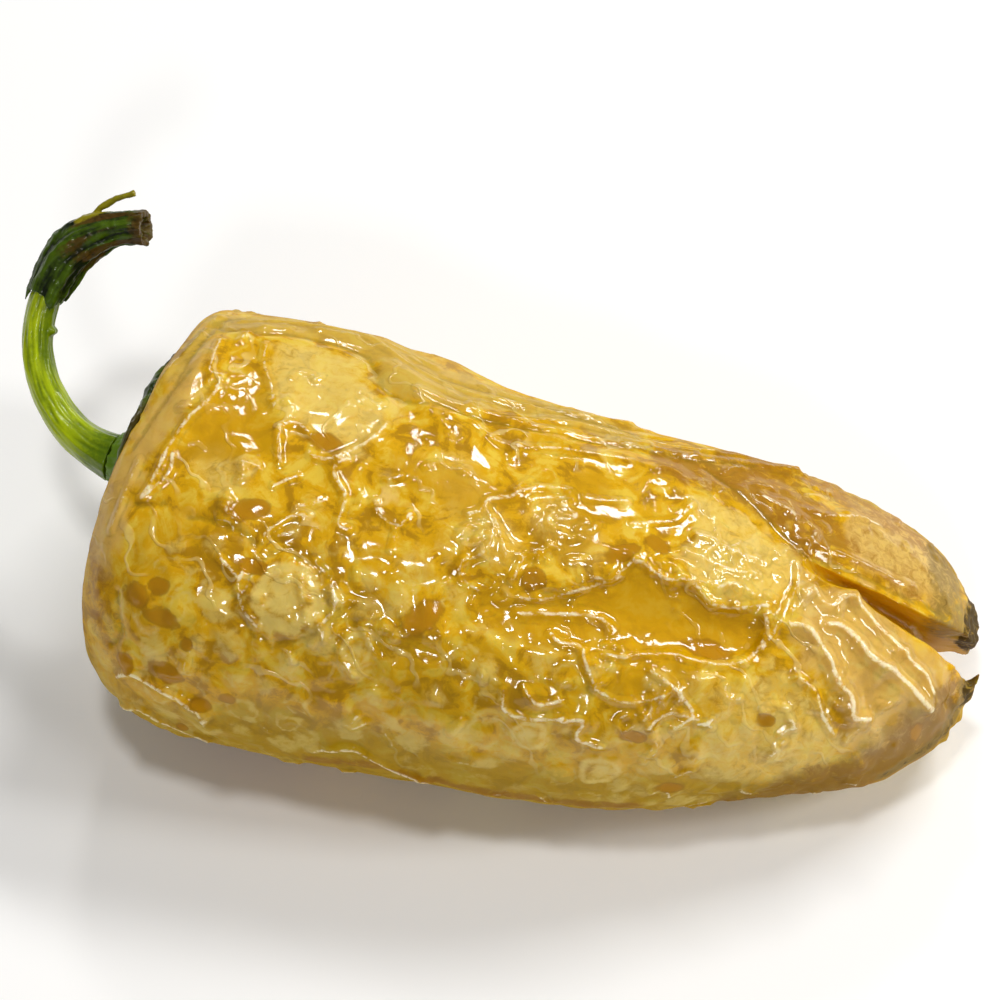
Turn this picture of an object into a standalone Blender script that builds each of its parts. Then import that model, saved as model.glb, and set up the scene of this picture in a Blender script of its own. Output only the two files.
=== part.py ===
"""A roasted chilli pepper that lies on its side.

It has four pieces: the slumped pod with its two-lobed blossom end, the calyx set in the pod's
shoulder, the hooked stem, and the withered sheath round the stem's cut end.

Units are metres and +Z is up. +X runs from the stem end to the blossom end, -Y is the side that
shows the cleft best, and the origin is on the flat spot that the pod rests on, under the middle
of the pod's length.
"""

import math
import random
from collections import namedtuple

import bmesh
import bpy
import numpy as np
from mathutils import Vector
from mathutils.bvhtree import BVHTree

MM = 0.001
GAP = 0.3 * MM  # kept between pieces that grew together

# The pod's sections, in millimetres and degrees, from the seat of the calyx to the blossom end.
# yaw turns a section about the vertical, so that its far side stands nearer the blossom end.
Section = namedtuple("Section", "x side rise half_width half_height yaw")
POD_SECTIONS = (
    Section(-36.6, 3.8, 20.0, 4.5, 4.2, 13),
    Section(-37.2, 3.8, 19.8, 8.6, 7.8, 13),
    Section(-38.9, 3.8, 19.2, 12.4, 10.6, 13),
    Section(-40.3, 4.3, 18.2, 17.0, 13.3, 10),
    Section(-38.8, 3.3, 17.3, 20.9, 15.9, 7),
    Section(-35.0, 1.7, 16.8, 22.3, 17.3, 5),
    Section(-28.4, 1.1, 16.6, 23.2, 17.8, 4),
    Section(-18.0, 0.9, 16.4, 23.0, 17.9, 4),
    Section(-7.0, -0.9, 16.1, 20.6, 17.3, 2),
    Section(4.0, -1.1, 15.6, 20.4, 16.8, 0),
    Section(14.5, -0.7, 14.8, 19.2, 15.6, 0),
    Section(23.5, 1.6, 13.5, 17.8, 13.9, 0),
    Section(31.0, 2.7, 12.0, 16.2, 11.9, 0),
    Section(37.0, 3.5, 10.6, 13.9, 9.9, 0),
    Section(41.3, 4.2, 9.5, 10.4, 7.9, 0),
    Section(43.8, 4.0, 8.8, 7.2, 5.6, 0),
)
POD_SEAT_FLOOR = (-36.5, 3.8, 20.1)
POD_BLOSSOM_END = (44.5, 4.0, 8.6)
POD_SIDES = 16
POD_SMOOTHING = 2
SECTION_FULLNESS = 2.25  # exponent of the superellipse; 2 is an ellipse

# Folds of the loosened skin. A place is millimetres along X and degrees round the pod, from 0 at
# the top to 90 on the -Y side. A fold with a height below zero is a groove.
Fold = namedtuple("Fold", "height width places")
FOLDS = {
    "shoulder band": Fold(0.65, 1.5, (
        (-36, -5), (-35, -24), (-34, -36), (-31, -44), (-24, -53), (-19, -52), (-15, -34), (-7, -22))),
    "far wrinkle": Fold(0.50, 1.4, (
        (-16, -42), (-9, -39), (-3, -35), (5, -32), (11, -35), (17, -34), (20, -32))),
    "far edge": Fold(0.45, 1.4, ((-14, -62), (-4, -57), (6, -55), (14, -58), (24, -55))),
    "shoulder crest": Fold(0.50, 1.3, ((-38, 28), (-36, 21), (-35, 7), (-33, -7))),
    "valley upper rim": Fold(0.75, 1.4, ((7, 5), (11, 6), (14, 9), (16, 13), (19, 20), (24, 18))),
    "valley lower rim": Fold(0.65, 1.4, (
        (8, 44), (13, 42), (16, 39), (20, 42), (24, 41), (25, 33), (26, 25))),
    "valley": Fold(-1.00, 3.2, ((-3, 33), (1, 31), (5, 31), (10, 30), (16, 30), (22, 31))),
    "fan": Fold(0.45, 1.3, ((0, 32), (3, 22), (6, 16), (11, 11))),
    "top ripple": Fold(0.40, 1.4, ((-16, -6), (-13, -2), (-9, 1), (-5, -6), (-1, -4))),
    "middle ripple": Fold(0.45, 1.4, ((-5, 8), (-2, 19), (-2, 30))),
    "far crease": Fold(-0.55, 1.5, ((15, -36), (17, -31), (20, -25), (22, -19), (24, -13))),
    "far ridge": Fold(0.50, 1.5, ((22, -34), (25, -28), (27, -23), (28, -17))),
    "near lobe upper": Fold(0.50, 1.4, ((33, 26), (35, 32), (37, 43), (41, 57))),
    "near lobe middle": Fold(0.45, 1.4, ((29, 30), (31, 40), (33, 52), (35, 61))),
    "near lobe root": Fold(0.50, 1.4, ((27, 13), (28, 30), (29, 45), (28, 68))),
    "near shoulder upper": Fold(0.60, 1.5, ((-38, 86), (-35, 85), (-32, 83), (-28, 89))),
    "near shoulder lower": Fold(0.45, 1.4, ((-38, 97), (-37, 100), (-35, 101), (-32, 105))),
    "near shoulder groove": Fold(-0.50, 1.5, ((-41, 76), (-39, 80), (-37, 84), (-36, 96))),
    "bottom flap": Fold(0.50, 1.4, ((-15, 95), (-11, 89), (-9, 93), (-5, 98), (-1, 101))),
    "far flank": Fold(0.50, 1.6, (
        (-34, -78), (-24, -84), (-12, -80), (2, -86), (16, -82), (28, -86))),
    "far flank lower": Fold(0.40, 1.5, ((-30, -108), (-18, -104), (-4, -110), (10, -104))),
}
FOLD_STEPS = 4  # how finely a fold's path is followed between two of its places

# Single blisters and the largest seeds under the skin: (x, degrees round, radius, height).
BLISTERS = (
    (-21, 47, 3.6, 0.50), (-27, 11, 2.2, 0.35), (-8, 41, 2.1, 0.30), (-26, 24, 1.9, 0.30),
    (-35, 57, 1.7, 0.30), (-20, -4, 1.7, 0.25), (2, 22, 1.6, 0.25), (14, 63, 1.6, 0.25),
)
BLISTER_FIELD_SEED = 11
BLISTER_FIELD_COUNT = 110
BLISTER_FIELD_X = (-34, 38)
BLISTER_FIELD_AROUND = (-120, 120)
BLISTER_FIELD_RADIUS = (1.3, 2.4)
BLISTER_FIELD_HEIGHT = (0.12, 0.32)
RELIEF_FADE = (1.5, 6.0)  # heights in mm between which the relief fades out, towards the flat spot

# The burnt tips of the far and the near lobe, drawn out: (place, pull, reach), in millimetres.
LOBE_TIPS = (
    ((44.0, 9.2, 8.8), (0.8, 0.2, -0.6), 3.2),
    ((44.4, 1.2, 9.8), (1.6, 1.2, 1.8), 2.6),
)

# The cleft between the two lobes: a leaning wedge, open at the blossom end, as
# (x, width, height of its floor), all in millimetres.
CLEFT_STATIONS = (
    (25.5, 0.8, 26.0), (32.0, 1.3, 20.5), (38.0, 2.2, 13.5), (40.5, 3.0, -2.0), (48.0, 6.5, -4.0),
)
CLEFT_TOP = 30.0
CLEFT_START = (27.0, 12.1)  # x, and the sideways place there at height zero
CLEFT_DRIFT = -0.24  # sideways change for each millimetre towards the blossom end
CLEFT_LEAN = -0.35  # sideways change for each millimetre upwards

# The stem grows out of the shoulder, from the middle of the calyx, and bends round in a hook.
CALYX_YAW = math.radians(13)
STEM_BASE = Vector((-39.9, 4.0, 20.5)) * MM
STEM_LEAN = math.radians(40)  # the hook's plane, measured up from level towards +Z
STEM_OUT = Vector((-0.989, 0.095, -0.112))  # the way that the stem leaves the calyx
STEM_STRAIGHT = 2.1 * MM
STEM_BEND_RADIUS = 11.85 * MM
STEM_RADIUS = 1.55 * MM
STEM_FLARE = 0.9 * MM
STEM_FLARE_LENGTH = 5.0 * MM
STEM_RIBS = 5
STEM_RIB_DEPTH = 0.05
STEM_SIDES = 15
STEM_RINGS = 32
STEM_END = math.radians(121)  # how far round the hook the stem runs, inside the sheath
STEM_LENGTH = STEM_STRAIGHT + STEM_END * STEM_BEND_RADIUS

# The calyx: rings of its outline as (radius, height above the base), in millimetres.
CALYX_PROFILE = (
    (5.0, -1.1), (8.2, -0.9), (9.9, -0.4), (10.2, 0.1), (9.4, 0.5),
    (7.0, 0.9), (4.6, 1.3), (3.2, 2.0), (2.6, 2.9), (2.42, 3.6), (1.6, 3.6),
)
CALYX_UNDERSIDE = -1.2
CALYX_TOP = 3.6
CALYX_RIM_RING = 3  # the last ring of the underside
CALYX_BODY = 4.0  # the teeth begin outside this radius, in millimetres
CALYX_RIM = 10.0
CALYX_NECK = (0.9, 2.4)  # heights between which the neck turns into the line of the stem
CALYX_TEETH = 6
CALYX_TOOTH = 1.5  # how far a tooth stands out of the rim, in millimetres
CALYX_NOTCH = 0.45  # how far the rim draws in between two teeth
CALYX_SIDES = 36

# The sheath: (degrees round the hook, radius, shift towards the inside of the hook), in mm.
SHEATH_PROFILE = (
    (106, 2.0, 0.0), (110, 2.15, 0.0), (116, 2.25, -0.1), (123, 2.4, -0.3), (130, 2.45, -0.5),
    (137, 2.4, -0.6), (144, 2.25, -0.6), (151, 1.95, -0.5), (158, 1.75, -0.3), (165, 1.75, -0.1),
    (170, 1.8, 0.0), (170, 1.2, 0.0), (167, 0.95, 0.0),
)
SHEATH_START = 110
SHEATH_HOLLOW = 166.5
SHEATH_FLAPS = 3
SHEATH_FLAP = 7.0  # how far the flaps reach down the stem, in degrees round the hook
SHEATH_LIP_RINGS = 3  # the rings over which the flaps give way to pleats
SHEATH_SIDES = 18
SHEATH_PLEATS = 6
SHEATH_PLEAT_DEPTH = 0.09
SHEATH_PLEAT_TWIST = 0.35

# The torn strip on the sheath: (outward from the hook's centre, degrees round the hook), in mm.
STRIP_PATH = ((11.6, 139), (12.9, 141), (14.0, 145), (14.7, 151), (15.1, 158), (15.4, 166))
STRIP_WIDTH = 0.5 * MM
STRIP_THICKNESS = 0.32 * MM
STRIP_SIDES = 8
STRIP_TAPER = 0.3


def clear_scene():
    """Removes every object that the file starts with."""
    for obj in list(bpy.data.objects):
        bpy.data.objects.remove(obj)


def new_collection(name):
    collection = bpy.data.collections.new(name)
    bpy.context.scene.collection.children.link(collection)
    return collection


def material(name, colour, roughness):
    made = bpy.data.materials.new(name)
    made.use_nodes = True
    shader = made.node_tree.nodes["Principled BSDF"]
    shader.inputs["Base Color"].default_value = (*colour, 1.0)
    shader.inputs["Roughness"].default_value = roughness
    made.diffuse_color = (*colour, 1.0)
    return made


def add_object(name, mesh, collection, finish=None):
    obj = bpy.data.objects.new(name, mesh)
    collection.objects.link(obj)
    if finish:
        mesh.materials.clear()
        mesh.materials.append(finish)
    return obj


def add_cutter(name, mesh, collection):
    obj = add_object(name, mesh, collection)
    obj.hide_render = True
    obj.display_type = "WIRE"
    return obj


def combine(obj, other, operation):
    """Adds an exact Boolean modifier, which takes the other object's shape out of obj or joins it."""
    boolean = obj.modifiers.new(operation.title() + " " + other.name, "BOOLEAN")
    boolean.operation = operation
    boolean.solver = "EXACT"
    boolean.object = other


def sphere_rings(name, sides, rings, place):
    """A UV sphere whose points are put at place(ring, angle). Ring 0 and ring `rings` are poles."""
    bm = bmesh.new()
    bmesh.ops.create_uvsphere(bm, u_segments=sides, v_segments=rings, radius=1.0)
    for vert in bm.verts:
        polar = math.acos(max(-1.0, min(1.0, vert.co.z)))
        ring = round(polar / math.pi * rings)
        vert.co = place(ring, math.atan2(vert.co.y, vert.co.x))
    mesh = finished_mesh(name, bm)
    mesh.shade_smooth()
    return mesh


def finished_mesh(name, bm):
    """A mesh of the closed shape in bm, with its faces turned outward."""
    bmesh.ops.recalc_face_normals(bm, faces=bm.faces)
    if bm.calc_volume(signed=True) < 0:
        bmesh.ops.reverse_faces(bm, faces=bm.faces)
    mesh = bpy.data.meshes.new(name)
    bm.to_mesh(mesh)
    bm.free()
    return mesh


def pod_point(ring, angle):
    """A point of the pod's cage. Angle 0 is straight up, and 90 degrees is the -Y side."""
    if ring == 0:
        return Vector(POD_SEAT_FLOOR) * MM
    if ring == len(POD_SECTIONS) + 1:
        return Vector(POD_BLOSSOM_END) * MM
    section = POD_SECTIONS[ring - 1]
    across, up = math.sin(angle), math.cos(angle)
    power = SECTION_FULLNESS
    reach = (abs(across) ** power + abs(up) ** power) ** (-1 / power)
    yaw = math.radians(section.yaw)
    side = -across * reach * section.half_width
    return Vector((
        section.x + side * math.sin(yaw),
        section.side + side * math.cos(yaw),
        section.rise + up * reach * section.half_height,
    )) * MM


def evaluated_mesh(obj):
    """The object's mesh with its modifiers applied, as a mesh of its own."""
    graph = bpy.context.evaluated_depsgraph_get()
    return bpy.data.meshes.new_from_object(obj.evaluated_get(graph))


def axis_at(x):
    """The middle of the pod's section at x, all in metres."""
    stations = [section.x * MM for section in POD_SECTIONS]
    order = np.argsort(stations)
    middle = [x]
    for values in ([s.side for s in POD_SECTIONS], [s.rise for s in POD_SECTIONS]):
        middle.append(float(np.interp(x, np.take(stations, order), np.take(values, order) * MM)))
    return Vector(middle)


def on_skin(tree, x, around):
    """The point of the skin at a place given as millimetres along X and degrees round the pod."""
    middle = axis_at(x * MM)
    angle = math.radians(around)
    return tree.ray_cast(middle, Vector((0.0, -math.sin(angle), math.cos(angle))))[0]


def fold_path(tree, places):
    """The points of the skin that a fold runs through, as an array."""
    places = np.array(places, float)
    counts = np.arange(0, len(places) - 1 + 1 / FOLD_STEPS, 1 / FOLD_STEPS)
    along = [np.interp(counts, np.arange(len(places)), places[:, axis]) for axis in (0, 1)]
    return np.array([on_skin(tree, x, around) for x, around in zip(*along)])


def distance_to_path(points, path):
    """The distance of every point to a polyline, as an array."""
    nearest = np.full(len(points), np.inf)
    for start, end in zip(path[:-1], path[1:]):
        span = end - start
        share = np.clip((points - start) @ span / (span @ span), 0.0, 1.0)
        offset = points - (start + share[:, None] * span)
        nearest = np.minimum(nearest, np.linalg.norm(offset, axis=1))
    return nearest


def skin_relief(tree, points):
    """How far each point of the skin stands out, in metres."""
    relief = np.zeros(len(points))
    for fold in FOLDS.values():
        distance = distance_to_path(points, fold_path(tree, fold.places))
        relief += fold.height * MM * np.exp(-(distance / (fold.width * MM)) ** 2)
    chance = random.Random(BLISTER_FIELD_SEED)
    blisters = list(BLISTERS)
    for _ in range(BLISTER_FIELD_COUNT):
        blisters.append((
            chance.uniform(*BLISTER_FIELD_X), chance.uniform(*BLISTER_FIELD_AROUND),
            chance.uniform(*BLISTER_FIELD_RADIUS), chance.uniform(*BLISTER_FIELD_HEIGHT),
        ))
    for x, around, radius, height in blisters:
        centre = np.array(on_skin(tree, x, around))
        distance = np.linalg.norm(points - centre, axis=1) / (radius * MM)
        relief += height * MM * np.exp(-distance ** 4)
    low, high = RELIEF_FADE
    fade = np.clip((points[:, 2] / MM - low) / (high - low), 0.0, 1.0)
    return relief * fade * fade * (3 - 2 * fade)


def pod_mesh():
    """The pod's skin with its folds and blisters, before the cleft and the seat are cut."""
    cage = sphere_rings("pod_cage", POD_SIDES, len(POD_SECTIONS) + 1, pod_point)
    holder = add_object("pod_cage", cage, bpy.context.scene.collection)
    smooth = holder.modifiers.new("Smooth", "SUBSURF")
    smooth.levels = POD_SMOOTHING
    smooth.render_levels = POD_SMOOTHING
    mesh = evaluated_mesh(holder)
    bpy.data.objects.remove(holder)
    points = np.empty(len(mesh.vertices) * 3)
    mesh.vertices.foreach_get("co", points)
    points = points.reshape(-1, 3)
    normals = np.array([vert.normal for vert in mesh.vertices])
    tree = BVHTree.FromPolygons([v.co for v in mesh.vertices], [p.vertices for p in mesh.polygons])
    points += normals * skin_relief(tree, points)[:, None]
    for place, pull, reach in LOBE_TIPS:
        distance = np.linalg.norm(points - np.array(place) * MM, axis=1) / (reach * MM)
        points += np.exp(-distance ** 2)[:, None] * np.array(pull) * MM
    points[:, 2] = np.maximum(points[:, 2], 0.0)
    mesh.vertices.foreach_set("co", points.ravel())
    mesh.update()
    return mesh


def cleft_mesh():
    """The leaning wedge that parts the two lobes."""
    points = []
    for x, width, floor in CLEFT_STATIONS:
        for height in (floor, CLEFT_TOP):
            middle = CLEFT_START[1] + CLEFT_DRIFT * (x - CLEFT_START[0]) + CLEFT_LEAN * height
            points.append((x * MM, (middle - width / 2) * MM, height * MM))
            points.append((x * MM, (middle + width / 2) * MM, height * MM))
    faces = [(0, 2, 3, 1)]
    for first in range(0, len(points) - 4, 4):
        low_near, low_far, high_near, high_far = range(first, first + 4)
        faces.append((low_near, low_near + 4, high_near + 4, high_near))
        faces.append((high_near, high_near + 4, high_far + 4, high_far))
        faces.append((high_far, high_far + 4, low_far + 4, low_far))
        faces.append((low_far, low_far + 4, low_near + 4, low_near))
    last = len(points) - 4
    faces.append((last + 1, last + 3, last + 2, last))
    bm = bmesh.new()
    verts = [bm.verts.new(point) for point in points]
    for face in faces:
        bm.faces.new([verts[index] for index in face])
    return finished_mesh("cleft", bm)


def stem_axes():
    """Unit directions: the way that the stem leaves, the way that it bends, and across the hook."""
    rise = Vector((0.0, math.cos(STEM_LEAN), math.sin(STEM_LEAN)))
    out = (STEM_OUT - STEM_OUT.dot(rise) * rise).normalized()
    return out, rise, out.cross(rise)


def hook_frame(turn):
    """The hook's centreline at an angle round it, and the directions outward and across there."""
    out, rise, across = stem_axes()
    outward = out * math.sin(turn) - rise * math.cos(turn)
    centre = STEM_BASE + out * STEM_STRAIGHT + rise * STEM_BEND_RADIUS
    return centre + outward * STEM_BEND_RADIUS, outward, across


def stem_frame(along):
    """The same for a distance along the centreline, which starts with a short straight length."""
    centre, outward, across = hook_frame(max(0.0, along - STEM_STRAIGHT) / STEM_BEND_RADIUS)
    if along < STEM_STRAIGHT:
        centre = centre + stem_axes()[0] * (along - STEM_STRAIGHT)
    return centre, outward, across


def calyx_mesh(grow=0.0):
    """The cap with its teeth and neck. The grown copy is the cutter for the pod's seat."""
    out = Vector((-math.cos(CALYX_YAW), math.sin(CALYX_YAW), 0.0))
    outward = -(stem_axes()[1] - stem_axes()[1].dot(out) * out).normalized()
    across = outward.cross(out)
    last = len(CALYX_PROFILE) + 1

    def place(ring, angle):
        if ring == 0:
            return STEM_BASE + out * (CALYX_UNDERSIDE * MM - grow)
        radius, height = (0.0, CALYX_TOP) if ring == last else CALYX_PROFILE[ring - 1]
        swell = max(0.0, (radius - CALYX_BODY) / (CALYX_RIM - CALYX_BODY)) ** 2
        tooth = (0.5 + 0.5 * math.cos(CALYX_TEETH * angle)) ** 2
        radius += swell * (CALYX_TOOTH * tooth - CALYX_NOTCH)
        lift = grow if ring > CALYX_RIM_RING else -grow
        reach = radius * MM + (grow if 0 < ring < last else 0.0)
        flat = STEM_BASE + out * (height * MM + lift)
        flat = flat + (outward * math.cos(angle) + across * math.sin(angle)) * reach
        centre, bend_out, bend_across = stem_frame(height * MM + lift)
        bent = centre + (bend_out * math.cos(angle) + bend_across * math.sin(angle)) * reach
        low, high = CALYX_NECK
        return flat.lerp(bent, min(1.0, max(0.0, (height - low) / (high - low))))

    return sphere_rings("calyx", CALYX_SIDES, last, place)


def stem_mesh(grow=0.0):
    """The green stem. The grown copy is the cutter for the sheath's socket."""
    start = CALYX_TOP * MM + GAP
    last = STEM_RINGS - 1

    def place(ring, angle):
        share = (min(max(ring, 1), last) - 1) / (last - 1)
        along = start + (STEM_LENGTH - start) * share + grow * (2 * share - 1)
        centre, outward, across = stem_frame(along)
        if ring in (0, STEM_RINGS):
            return centre
        radius = STEM_RADIUS + STEM_FLARE * math.exp((start - along) / STEM_FLARE_LENGTH)
        radius *= 1 + STEM_RIB_DEPTH * math.cos(STEM_RIBS * angle)
        radius += grow
        return centre + (outward * math.cos(angle) + across * math.sin(angle)) * radius

    return sphere_rings("stem", STEM_SIDES, STEM_RINGS, place)


def sheath_mesh():
    """The withered sheath, still solid: its ragged lip, pleats and hollow cut end."""

    def place(ring, angle):
        if ring == 0:
            return hook_frame(math.radians(SHEATH_START))[0]
        if ring == len(SHEATH_PROFILE) + 1:
            return hook_frame(math.radians(SHEATH_HOLLOW))[0]
        degrees, radius, shift = SHEATH_PROFILE[ring - 1]
        settled = min(1.0, (ring - 1) / SHEATH_LIP_RINGS)
        flap = max(0.0, math.cos(SHEATH_FLAPS * angle + 0.5)) ** 2
        degrees -= SHEATH_FLAP * (1 - settled) * flap
        centre, outward, across = hook_frame(math.radians(degrees))
        centre = centre - outward * shift * MM
        pleat = math.cos(SHEATH_PLEATS * angle + ring * SHEATH_PLEAT_TWIST)
        radius *= 1 + SHEATH_PLEAT_DEPTH * settled * pleat
        return centre + (outward * math.cos(angle) + across * math.sin(angle)) * radius * MM

    return sphere_rings("sheath", SHEATH_SIDES, len(SHEATH_PROFILE) + 1, place)


def strip_mesh():
    """The torn strip that curls up from the sheath. Its root is inside the sheath."""
    out, rise, across = stem_axes()
    middle = STEM_BASE + out * STEM_STRAIGHT + rise * STEM_BEND_RADIUS
    path = []
    for reach, degrees in STRIP_PATH:
        turn = math.radians(degrees)
        path.append(middle + (out * math.sin(turn) - rise * math.cos(turn)) * reach * MM)

    def place(ring, angle):
        index = min(max(ring - 1, 0), len(path) - 1)
        centre = path[index]
        if ring in (0, len(path) + 1):
            return centre
        along = (path[min(index + 1, len(path) - 1)] - path[max(index - 1, 0)]).normalized()
        thin = along.cross(across).normalized()
        taper = 1.0 - STRIP_TAPER * index / (len(path) - 1)
        return centre + (across * math.cos(angle) * STRIP_WIDTH * taper
                         + thin * math.sin(angle) * STRIP_THICKNESS)

    return sphere_rings("strip", STRIP_SIDES, len(path) + 1, place)


def main():
    clear_scene()
    pepper = new_collection("chilli_pepper")
    cutters = new_collection("cutters")
    skin = material("roasted_skin", (0.60, 0.40, 0.07), 0.25)
    cap_green = material("calyx_green", (0.10, 0.14, 0.02), 0.6)
    stem_green = material("stem_green", (0.30, 0.38, 0.03), 0.5)
    withered = material("withered_green", (0.04, 0.07, 0.01), 0.6)

    pod = add_object("pod", pod_mesh(), pepper, skin)
    combine(pod, add_cutter("cleft", cleft_mesh(), cutters), "DIFFERENCE")
    combine(pod, add_cutter("calyx_seat", calyx_mesh(GAP), cutters), "DIFFERENCE")

    add_object("calyx", calyx_mesh(), pepper, cap_green)
    add_object("stem", stem_mesh(), pepper, stem_green)

    sheath = add_object("stem_sheath", sheath_mesh(), pepper, withered)
    combine(sheath, add_cutter("strip", strip_mesh(), cutters), "UNION")
    combine(sheath, add_cutter("stem_socket", stem_mesh(GAP), cutters), "DIFFERENCE")


main()
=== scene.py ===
"""The looks of a roasted chilli pepper that lies on its side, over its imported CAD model.

The pod, calyx, stem and withered sheath are finer copies of their CAD nodes: each copy is evened
out, carved with the folds, blisters, ribs and pleats of the real one, and painted with masks that
its finish reads.

Lengths are millimetres wherever a name says so or a table holds places on the skin, and metres
elsewhere. A place on the pod is (millimetres along X, degrees round the pod), with 0 degrees at
the top and 90 on the -Y side, which faces the camera.
"""

import logging
import math
from dataclasses import dataclass, field
from enum import Enum
from typing import Protocol

import bpy
import numpy as np
from mathutils import Matrix, Vector, noise
from mathutils.bvhtree import BVHTree
from mathutils.kdtree import KDTree


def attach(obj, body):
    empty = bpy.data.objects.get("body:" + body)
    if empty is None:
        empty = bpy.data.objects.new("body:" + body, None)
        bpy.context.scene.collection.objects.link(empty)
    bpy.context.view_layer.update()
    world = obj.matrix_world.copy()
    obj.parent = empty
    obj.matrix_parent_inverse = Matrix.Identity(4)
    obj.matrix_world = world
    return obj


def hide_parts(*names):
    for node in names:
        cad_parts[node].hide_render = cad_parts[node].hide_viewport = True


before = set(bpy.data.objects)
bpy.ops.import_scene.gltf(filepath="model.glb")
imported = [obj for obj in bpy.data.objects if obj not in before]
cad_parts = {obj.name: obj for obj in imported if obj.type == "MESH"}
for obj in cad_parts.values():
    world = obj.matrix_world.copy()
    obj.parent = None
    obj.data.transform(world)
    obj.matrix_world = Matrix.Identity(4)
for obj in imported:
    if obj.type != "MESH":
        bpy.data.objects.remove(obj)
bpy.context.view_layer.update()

MM = 0.001
BODY = "root"
# A wave texture of scale 1 repeats after this length.
WAVE_LENGTH = 0.314
Place = tuple[float, float]

log = logging.getLogger("chilli_pepper")


class Paint(Enum):
    """The masks that are painted on the pieces' points and read by their finishes."""

    CREAM = "cream"
    KHAKI = "khaki"
    AMBER = "amber"
    # Olive flesh, and painted shade on the pod's flanks and the stem's inner side.
    OLIVE = "olive"
    PEACH = "peach"
    BROWN = "brown"
    CHAR = "char"
    SEED = "seed"
    SHADE = "shade"
    # Pale film lines on fold crests, partly painted highlight.
    CREST = "crest"
    # Painted shade in creases.
    CREASE = "crease"
    CELL = "cell"
    FLESH = "flesh"
    ALONG = "along"
    RIB = "rib"
    MATT = "matt"


class Side(Enum):
    """The lights of the studio, by where they stand."""

    KEY = "key_softbox"
    RIGHT = "right_softbox"
    BACK = "back_softbox"
    FRONT = "front_fill"
    TOP = "overhead_fill"


@dataclass(frozen=True)
class Fold:
    """A fold or groove of the loosened skin.

    Args:
        height: How far it stands out, in millimetres. Below zero it is a groove.
        width: Half its width, in millimetres.
        places: The places on the pod that it runs through.
        pale: How much it shows as a pale line: 0 for faint, 1 for clear, more for a broad white one that is a
            painted highlight.
    """

    height: float
    width: float
    places: tuple[Place, ...]
    pale: float = 0.0


@dataclass(frozen=True)
class Region:
    """A closed area of the skin with one paint.

    Args:
        paint: The mask that it is painted on.
        edge: Half the width of its soft edge, in millimetres.
        places: The corners of its outline on the pod, in order.
        strength: The mask's value inside it.
        relief: How far it stands out, in millimetres.
    """

    paint: Paint
    edge: float
    places: tuple[Place, ...]
    strength: float = 1.0
    relief: float = 0.0


@dataclass(frozen=True)
class Patch:
    """A stroke of one paint along some places on the pod.

    Args:
        paint: The mask that it is painted on.
        radius: Half the stroke's width, in millimetres.
        places: The places on the pod that it runs through.
        strength: The mask's value in the middle of the stroke.
    """

    paint: Paint
    radius: float
    places: tuple[Place, ...]
    strength: float = 1.0


@dataclass(frozen=True)
class Stroke:
    """A soft stroke along some places on the pod.

    Args:
        radius: Half its width, in millimetres.
        places: The places on the pod that it runs through.
    """

    radius: float
    places: tuple[Place, ...]


@dataclass(frozen=True)
class Seed:
    """A seed that shows through the skin.

    Args:
        place: Its middle on the pod.
        length: Its length in millimetres.
        width: Its width in millimetres.
        turn: Degrees that its length is turned from X towards the underside.
    """

    place: Place
    length: float
    width: float
    turn: float = 0.0


@dataclass(frozen=True)
class Blister:
    """A round blister with a flat floor and a raised rim.

    Args:
        place: Its middle on the pod.
        radius: Its radius in millimetres.
        height: How far its dome stands out, in millimetres.
        rim: How far its rim stands above the dome, in millimetres.
    """

    place: Place
    radius: float
    height: float
    rim: float


# The middle of the pod along its length, as (x, sideways, height) in millimetres.
POD_AXIS = (
    (-40.0, 3.0, 18.0), (-35.0, 1.7, 16.8), (-28.4, 1.1, 16.6), (-18.0, 0.6, 16.4), (-7.0, -0.7, 16.1),
    (4.0, -1.1, 15.6), (14.5, -0.7, 14.8), (23.5, 1.6, 13.5), (31.0, 2.7, 12.0), (37.0, 3.5, 10.6),
    (44.0, 4.0, 8.8),
)

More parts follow.
